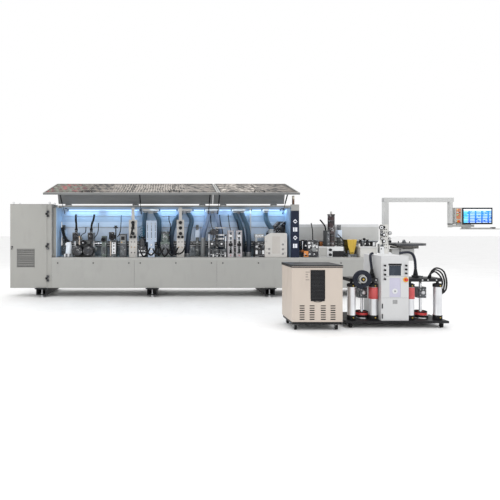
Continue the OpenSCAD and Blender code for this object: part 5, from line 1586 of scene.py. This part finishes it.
def dust_routes():
    """Each dust hose from its duct down to its collar, in machine millimetres."""
    down = [(1706, 1780, 752), (1913, 2010, 868), (2397, 2264, 746), (2554, 2518, 775), (2934, 2826, 1080),
            (3080, 3165, 855), (3450, 3600, 808)]
    bends = [[(1695, -62, 1440), (1697, -75, 1305), (1700, -90, 1170), (1716, -100, 1030),
              (1740, -105, 910)], [(1974, -62, 1440), (1980, -75, 1300), (1978, -90, 1150),
        (1974, -100, 1000), (1995, -110, 930)], [
        (2300, -62, 1437), (2256, -75, 1300), (2226, -90, 1170), (2214, -100, 990), (2230, -105, 880)],
             [(2600, -62, 1470), (2604, -75, 1380), (2579, -85, 1291), (2555, -95, 1170),
              (2541, -105, 1050), (2525, -110, 900)], [
        (2910, -65, 1440), (2886, -80, 1352), (2850, -100, 1230)],
             [(3118, -65, 1440), (3140, -80, 1352), (3162, -95, 1200), (3176, -105, 1049),
              (3170, -110, 920)], [(3500, -62, 1440), (3539, -72, 1352), (3578, -85, 1200),
        (3596, -90, 1049), (3600, -95, 900)]]
    routes = []
    for (top, foot, end), bend in zip(down, bends):
        y = -95 if foot == 3600 else -110
        routes.append([(top, -55, 1600), (top, -55, 1560)] + bend + [(foot, y, end + 26), (foot, y, end)])
    routes.append([(3588, -55, 1600), (3588, -55, 1560), (3630, -80, 1440), (3660, -115, 1352),
                   (3688, -165, 1200), (3692, -200, 1052), (3688, -215, 900), (3685, -215, 830),
                   (3685, -215, 806)])
    routes.append([(4047, -55, 1600), (4047, -55, 1560), (4047, -75, 1480), (4050, -130, 1413),
                   (4075, -200, 1335), (4108, -240, 1275), (4108, -240, 1242)])
    return routes


def build_mast():
    grey = paint("mast paint", (0.50, 0.505, 0.50), 0.42)
    repaint("control_mast", grey, [((6438, 6592), (-170, -50), deck(9, 150),
        paint("olive box", (0.17, 0.17, 0.14), 0.45)),
        ((6600, 6880), (-170, -50), deck(9, 150), infeed_paint()),
        ((6100, 6880), (-170, -50), deck(-90, 11), white_paint()),
        ((6490, 6600), (270, 330), (1800, 1870), steel())])
    repaint("control_boom", grey, [((7820, 7890), (270, 330), (1285, 1352), steel())])
    repaint("control_panel", pale_paint(), [((7950, 8045), (255, 260), (1460, 1675),
        plastic("button strip", (0.48, 0.17, 0.07), 0.4)),
        ((8072, 8690), (255, 340), (1350, 1695), screen_case()),
        ((8070, 8700), (70, 340), (1250, 1271), pale_paint())])
    face = 260.0
    keys = Shape(black_plastic())
    for row in range(3):
        for column in range(2):
            z = 1648 - 52 * row
            x = 7978 + 42 * column
            material = (yellow_plastic(), red_plastic(), white_paint(), black_plastic(),
                        lamp("green key", (0.05, 0.45, 0.12), 0.5), red_plastic())[row * 2 + column]
            keys.use(chrome()).stud((x, face - 2, z), 16, 3, 4, 13, 24)
            keys.use(material).stud((x, face - 6, z), 12, 5, 7, 9, 20)
    keys.use(black_plastic()).box((7940, 8060), (face - 1, face + 0.5), (1372, 1392), 2)
    keys.piece("panel_keys", "panel", "black_plastic")
    glass = Shape(screen("operating screen", (8104, 0, 1386), (8658, 0, 1660)))
    glass.box((8104, 8658), (face - 3, face + 0.5), (1386, 1660), 1)
    glass.use(screen_case())
    for x, z in (((8086, 8676), (1372, 1384)), ((8086, 8676), (1662, 1676)), ((8086, 8102), (1372, 1676)),
                 ((8660, 8676), (1372, 1676))):
        glass.box(x, (face - 5, face + 0.5), z, 2)
    glass.use(lamp("power light", (0.1, 0.7, 0.3), 1.0)).lathe((8666, face - 5, 1366), FRONT,
        [(0, 3), (1.5, 3)], 12)
    glass.piece("operating_screen", "panel", "glass")
    board = Shape(plastic("keyboard", (0.30, 0.30, 0.31), 0.5))
    board.box((8150, 8560), (96, 236), (1270.3, 1282), 4)
    board.use(black_plastic()).box((8590, 8650), (120, 220), (1270.3, 1296), 12)
    board.piece("keyboard", "panel", "black_plastic")
    key = Shape(key_cap())
    key.box((8160, 8182), (106, 126), (1281.6, 1289), 3)
    repeated("key_caps", key, [(16, (24.4, 0, 0)), (5, (0, 25.5, 0))], key_cap(), "panel")
    shell = Shape(grey)
    shell.use(black_plastic()).lathe((7852.5, 297.5, 1352.5), UP,
        [(0, 47.6), (2, 52), (14, 52), (16, 47.6)], 36)
    shell.use(plastic("boom cap", (0.30, 0.305, 0.31), 0.4))
    shell.box((6493, 6496.4), (252, 343), (1808, 1889), 3)
    shell.box((7899.8, 7903), (252, 343), (1808, 1889), 3)
    shell.piece("boom_caps", "boom", "mid")
    cables = Shape(rubber())
    cables.sweep([(7960, 300, 1318), (7990, 350, 1310), (8060, 366, 1345), (8140, 352, 1400),
                  (8150, 336, 1420)], 7, 8)
    cables.piece("panel_cable", "panel", "rubber")
    stop = Shape(red_plastic())
    x, z = 7999.5, 1415.0
    stop.lathe((x, 252.0, z), FRONT, [(0, 12.0), (6, 14), (9, 19.6), (20, 20.6), (24, 18), (25, 8)], 32)
    stop.piece("stop_button_cap", "stop_button", "red", replaces=("panel_emergency_stop",))
    base = Shape(yellow_plastic())
    base.stud((x, 260.2, z), 30, 1.4, 1.8, 28, 36)
    base.piece("stop_button_ring", "panel", "amber")


class EDGEBANDER_OT_mast(bpy.types.Operator):
    """Finishes the control mast, boom, operating panel and emergency stop"""

    bl_idname = "edgebander.mast"
    bl_label = "Control mast"

    def execute(self, context):
        build_mast()
        return {"FINISHED"}


def build_melter():
    y0 = -2933.0  # the cart's front plane
    black = paint("cart black", (0.014, 0.014, 0.016), 0.38)
    repaint("melter_cart", black, [((4560, 5560), (-2810, -2570), (93.2, 106), steel())], 0.002)
    cabinet = paint("melter cabinet paint", (0.56, 0.565, 0.57), 0.42)
    repaint("melter_cabinet", cabinet, [((4990, 5150), (y0 + 21, y0 + 28), (668, 800),
        plastic("dark display", (0.035, 0.045, 0.06), 0.2)),
        ((5001, 5139), (y0 + 20, y0 + 25), (396, 639), paint("lavender recess", (0.50, 0.49, 0.60), 0.4)),
        ((5038, 5102), (y0 + 20, y0 + 31), (310, 360), dark_paint()),
        ((4920, 4950), (y0 + 6, y0 + 19.9), (600, 830), black_plastic()),
        ((5190, 5222), (y0 + 6, y0 + 19.9), (680, 830), black_plastic()),
        ((5150, 5245), (y0 + 13.5, y0 + 20), (580, 655), yellow_plastic()),
        ((5180, 5230), (y0 - 7, y0 + 14.5), (595, 640), red_plastic())], 0.002)
    repaint("melter_cylinders", aluminium(), [
        ((4600, 4712), (y0 - 2, y0 + 72), (570, 676), pale_paint()),
        ((4440, 5760), (y0, y0 + 300), (92, 151.5), black),
        ((4440, 5760), (y0, y0 + 300), (516.5, 631), black)], 0.0015)
    for side in ("left", "right"):
        repaint("melter_%s_ram" % side, chrome(), [
            ((4500, 5600), (-2900, -2500), (109, 134.2), black),
            ((4500, 5600), (-2900, -2500), (134.3, 165), red_plastic()),
            ((4500, 5600), (-2900, -2500), (355, 501), dark_paint())], 0.0015)
    # label bands and fittings of the lifting cylinders
    bands = Shape(red_plastic())
    for x in (4832, 5308):
        bands.use(plastic("red label", (0.50, 0.07, 0.07), 0.35)).lathe((x, y0 + 110, 372), UP,
            [(0, 56), (1, 57), (138, 57), (139, 56)], 40)
        bands.use(red_plastic()).lathe((x, y0 + 110, 364), UP, [(0, 56), (7, 57)], 40)
    for x in (4548, 4832, 5308, 5668):
        for z in (124, 535):
            bands.use(brass()).lathe((x, y0 + 54.5, z), FRONT, [(-2, 9), (10, 9), (12, 6)], 6)
        bands.use(black_plastic()).lathe((x, y0 + 110, 553), UP, [(-0.5, 46), (8, 40), (10, 18)], 28)
    for s in (4740, 5520):
        for x in (-70, 0, 110):
            bands.use(steel()).stud((s + x, y0 + 69.9, 607), 11, 5, 7, 8, 6)
        bands.use(dark_paint()).lathe((s, y0 + 240, 629), UP, [(0, 34), (14, 34), (16, 30), (16, 18.6)], 28)
    bands.piece("cylinder_fittings", slot="steel")
    # pumps that ride with the platens
    for side, s in (("left", 4740), ("right", 5520)):
        pump = Shape(dark_paint())
        pump.box((s - 46, s + 46), (y0 + 180, y0 + 192), (376, 480), 5)
        pump.use(steel()).stud((s, y0 + 182, 430), 26, 12, 16, 20, 28)
        for x in (-34, 34):
            for z in (390, 466):
                pump.use(steel()).stud((s + x, y0 + 181, z), 7, 5, 6, 5, 6)
        for z in (168, 176):
            pump.use(black).ring((s, y0 + 240, z), UP, 76, 4.5, 40, 8)
        pump.piece("pump_" + side, "ram_" + side, "dark")
    heated = plastic("heated hose braid", (0.018, 0.021, 0.032), 0.6)
    hoses = Shape(heated)
    cx, cz = 4655.0, 624.0
    for depth, inner, outer in ((17.5, 60.0, 116.0), (39.0, 61.0, 114.0)):
        turn = []
        for k in range(3 * 30 + 1):
            a = 2 * math.pi * k / 30 - math.pi / 2
            reach = inner + (outer - inner) * k / 90
            turn.append((cx + reach * math.cos(a), y0 + depth, cz + reach * math.sin(a)))
        hoses.sweep(turn, 10.6, 12, 0.8, 9.0)
    hoses.use(black_plastic()).lathe((cx, y0 + 0.5, cz), FRONT, [(-1, 30), (4, 30), (6, 24)], 28)
    hoses.use(brass()).stud((cx, y0 - 5, cz), 14, 5, 8, 9, 6)
    hoses.use(heated)
    hoses.sweep([(4856, y0 + 200, 629.5), (4856, y0 + 200, 720), (4850, y0 + 205, 800),
                 (4846, y0 + 215, 865), (4852, y0 + 230, 912), (4868, y0 + 240, 936),
                 (4892.5, y0 + 240, 944)], 17, 14, 1.2, 9.0)
    hoses.sweep([(5434, y0 + 200, 629.5), (5434, y0 + 200, 740), (5432, y0 + 210, 850),
                 (5415, y0 + 225, 925), (5375, y0 + 240, 955), (5310, y0 + 240, 955),
                 (5245.5, y0 + 240, 944)], 17, 14, 1.2, 9.0)
    for x in (4856, 5434):
        hoses.use(black_plastic()).box((x - 38, x + 30), (y0 + 168, y0 + 232), (629.3, 656), 5)
        hoses.lathe((x, y0 + 200, 655), UP, [(0, 30), (20, 28), (70, 19), (84, 18.4)], 24)
    for k in range(3):
        hoses.use(plastic("control cable", (0.012, 0.012, 0.014), 0.4))
        x = 5556 + 14 * k
        high = 700 + 24 * k
        wide = 5728 + 28 * k
        hoses.sweep([(x, y0 + 120, 629.5), (x + 6, y0 + 116, high - 40), (x + 70, y0 + 110, high + 12),
                     (wide - 40, y0 + 104, high - 30), (wide, y0 + 104, 590),
                     (wide - 8, y0 + 108, 500 - 12 * k), (5736, y0 + 112, 460 - 14 * k),
                     (5717, y0 + 112, 452 - 14 * k)], 10, 10)
    hoses.piece("heated_hoses", slot="hose", replaces=("melter_hoses",))
    panel = Shape(cabinet)
    front = y0 + 20
    panel.use(white_paint()).stud((5070, front + 4, 470), 34, 2, 3, 31, 36)
    panel.use(mid_paint()).stud((5070, front + 1, 470), 10, 4, 5, 7, 20)
    panel.use(black_plastic()).box((4986, 5154), (front - 3, front + 0.5), (800, 824), 2)
    for x, count, gap in ((4935, 4, 58), (5206, 3, 50)):
        for k in range(count):
            knob(panel, (x, y0 + 10, 800 - gap * k), FRONT, 13, 16, black_plastic())
            panel.use(white_paint()).box((x - 16, x + 16), (front - 1.5, front),
                (800 - gap * k - 27, 800 - gap * k - 19), 0.6)
    for z in (660, 384):
        panel.use(dark_paint()).box((4896, 5242), (front - 0.8, front + 0.2), (z, z + 2), 0.2)
    for z in (120, 250):
        panel.use(black_plastic()).box((4900, 4912), (front - 8, front), (z, z + 60), 3)
    panel.use(cabinet).box((4893, 5245), (y0 + 20, y0 + 520), (918, 921), 1)
    panel.piece("melter_cabinet_details", slot="pale")
    repaint("cart_casters", mid_paint(), [
        ((4400, 5700), (-2960, -2300), (-1, 57), rubber()),
        ((3700, 4350), (-3060, -2500), (-1, 57), rubber())], 0)


class EDGEBANDER_OT_melter(bpy.types.Operator):
    """Finishes the glue melter cart with its cylinders, heated hoses and cabinet"""

    bl_idname = "edgebander.melter"
    bl_label = "Glue melter cart"

    def execute(self, context):
        build_melter()
        return {"FINISHED"}


def build_chiller():
    black = paint("chiller black", (0.016, 0.016, 0.018), 0.36)
    y0 = -3056.0  # the chiller's front plane
    # The zones listed last, in the vent slots, paint the slot pockets black: painted shade in their depth.
    repaint("chiller_housing", cream_paint(), [
        ((3700, 4352), (-3065, -2565), (785.2, 818), black),
        ((3705, 4345), (-3060, -2570), (60, 106.8), black),
        ((3944, 4120), (y0 + 0.5, y0 + 13), (366, 753), black)]
            + [((c - 31, c + 31), (y0 + 0.5, y0 + 9), (133 + 28 * i, 147 + 28 * i), black)
               for c in (3836, 3961, 4100, 4222) for i in range(7)], 0.003)
    repaint("chiller_grille", black, edge=0.001)
    slats = Shape(black)
    slats.slab([(3954, 398), (4110, 398), (4110, 401), (3954, 401)], (y0 - 2, y0 + 8))
    repeated("grille_slats", slats, [(21, (0, 0, 16.5))], plastic("grille slat", (0.055, 0.056, 0.06), 0.4))
    trim = Shape(black)
    outline = []
    for k in range(13):
        a = math.pi + math.pi * k / 12
        outline.append((4032 + 90 * math.cos(a), 400 + 46 * math.sin(a)))
    inner = [(4032 + (x - 4032) * 0.90, 400 + (z - 400) * 0.82) for x, z in outline]
    for (a, b), (c, d) in zip(zip(outline, outline[1:]), zip(inner, inner[1:])):
        trim.slab([a, b, d, c], (y0 - 4, y0 + 1))
    for x, z in (((3941, 3951), (400, 756)), ((4113, 4123), (400, 756)), ((3941, 4123), (746, 756))):
        trim.box(x, (y0 - 4, y0 + 1), z, 1.5)
    trim.use(cream_paint()).box((3706, 4346), (-3062.5, -2569.5), (797, 801), 0.6)
    trim.piece("chiller_trim", slot="black")
    door = Shape(cream_paint())
    for x in (3720, 4332):
        for z in (124, 770):
            door.use(steel()).stud((x, y0, z), 6, 2.4, 3.2, 4, 6)
    grey = paint("chiller key", (0.30, 0.265, 0.235), 0.4)
    for z, wide in ((724, 52), (694, 30), (664, 30), (628, 46)):
        door.use(grey).box((3880, 3880 + wide), (y0 - 2, y0 + 0.5), (z, z + 12), 2)
    for x in (3800, 3880, 4180, 4260):
        door.use(brass()).lathe((x, -2576, 230), (0, 1, 0), [(-2, 17), (18, 17), (22, 12)], 20)
    door.piece("chiller_fittings", slot="cream")


class EDGEBANDER_OT_chiller(bpy.types.Operator):
    """Finishes the chiller, with its grille, slots and top band"""

    bl_idname = "edgebander.chiller"
    bl_label = "Chiller"

    def execute(self, context):
        build_chiller()
        return {"FINISHED"}


class EDGEBANDER_OT_stage(bpy.types.Operator):
    """Adds the plain pale floor and the soft studio light"""

    bl_idname = "edgebander.stage"
    bl_label = "Floor and light"

    def execute(self, context):
        floor = bpy.data.meshes.new("studio_floor")
        reach = 60.0
        floor.from_pydata([(-reach, -reach, 0), (reach, -reach, 0), (reach, reach, 0), (-reach, reach, 0)],
                          [], [(0, 1, 2, 3)])
        floor.materials.append(paint("studio floor", (0.90, 0.90, 0.90), 0.6))
        ground = bpy.data.objects.new("studio_floor", floor)
        context.scene.collection.objects.link(ground)
        world = bpy.data.worlds.new("studio")
        world.use_nodes = True
        world.node_tree.nodes["Background"].inputs[0].default_value = (1.0, 1.0, 1.0, 1.0)
        world.node_tree.nodes["Background"].inputs[1].default_value = lights().room
        context.scene.world = world
        context.scene.view_settings.view_transform = "Standard"
        context.scene.view_settings.look = "None"
        middle = place(3000, -400, 1000)
        for label, spot, power, size, colour in (("key", (-2500, -6500, 5200), 160.0, 6.0,
                (1.0, 0.99, 0.97)), ("fill", (8500, -6000, 4200), 90.0, 6.0, (0.97, 0.98, 1.0)),
                ("top", (3000, -1000, 6500), 120.0, 8.0, (1.0, 1.0, 1.0)),
                ("rear", (3000, 5500, 4500), 90.0, 6.0, (1.0, 1.0, 1.0))):
            add_light(label, place(*spot), middle, power, size, size, colour)
        for k, x in enumerate((500, 1250, 2100, 2900, 3600, 4200)):
            add_light("inside_%d" % k, place(x, -60, 1630), place(x, -190, 800), lights().inside, 0.6, 0.12,
                      tuple(lights().tint))
        return {"FINISHED"}


def add_light(name, spot, target, power, wide, deep, colour):
    data = bpy.data.lights.new(name, "AREA")
    data.energy = power
    data.shape = "RECTANGLE"
    data.size = wide
    data.size_y = deep
    data.color = colour
    lamp_object = bpy.data.objects.new(name, data)
    lamp_object.location = spot
    lamp_object.rotation_euler = (target - spot).to_track_quat("-Z", "Y").to_euler()
    bpy.context.scene.collection.objects.link(lamp_object)


class EDGEBANDER_PT_panel(bpy.types.Panel):
    """The steps that build the machine's looks"""

    bl_idname = "EDGEBANDER_PT_panel"
    bl_label = "Edge Bander"
    bl_space_type = "VIEW_3D"
    bl_region_type = "UI"
    bl_category = "Edge Bander"

    def draw(self, context):
        for group in (context.scene.edge_bander_sizes, context.scene.edge_bander_lights):
            box = self.layout.box()
            for name in group.bl_rna.properties.keys():
                if name not in ("rna_type", "name"):
                    box.prop(group, name)
        for step in STEPS:
            self.layout.operator(step.bl_idname)


STEPS = (EDGEBANDER_OT_camera, EDGEBANDER_OT_bed, EDGEBANDER_OT_cabinet, EDGEBANDER_OT_enclosure,
         EDGEBANDER_OT_hoods, EDGEBANDER_OT_conveyor, EDGEBANDER_OT_buffing, EDGEBANDER_OT_scraping,
         EDGEBANDER_OT_regulators, EDGEBANDER_OT_trimming, EDGEBANDER_OT_end_trim, EDGEBANDER_OT_gluing,
         EDGEBANDER_OT_infeed, EDGEBANDER_OT_hoses, EDGEBANDER_OT_mast, EDGEBANDER_OT_melter,
         EDGEBANDER_OT_chiller, EDGEBANDER_OT_stage)
CLASSES = (EdgeBanderSizes, EdgeBanderLights, *STEPS, EDGEBANDER_PT_panel)


def register():
    for kind in CLASSES:
        bpy.utils.register_class(kind)
    bpy.types.Scene.edge_bander_sizes = bpy.props.PointerProperty(type=EdgeBanderSizes)
    bpy.types.Scene.edge_bander_lights = bpy.props.PointerProperty(type=EdgeBanderLights)


def unregister():
    del bpy.types.Scene.edge_bander_sizes
    del bpy.types.Scene.edge_bander_lights
    for kind in reversed(CLASSES):
        bpy.utils.unregister_class(kind)


def main():
    register()
    for step in STEPS:
        group, name = step.bl_idname.split(".")
        getattr(getattr(bpy.ops, group), name)()
    bpy.context.view_layer.update()


if __name__ == "__main__":
    main()
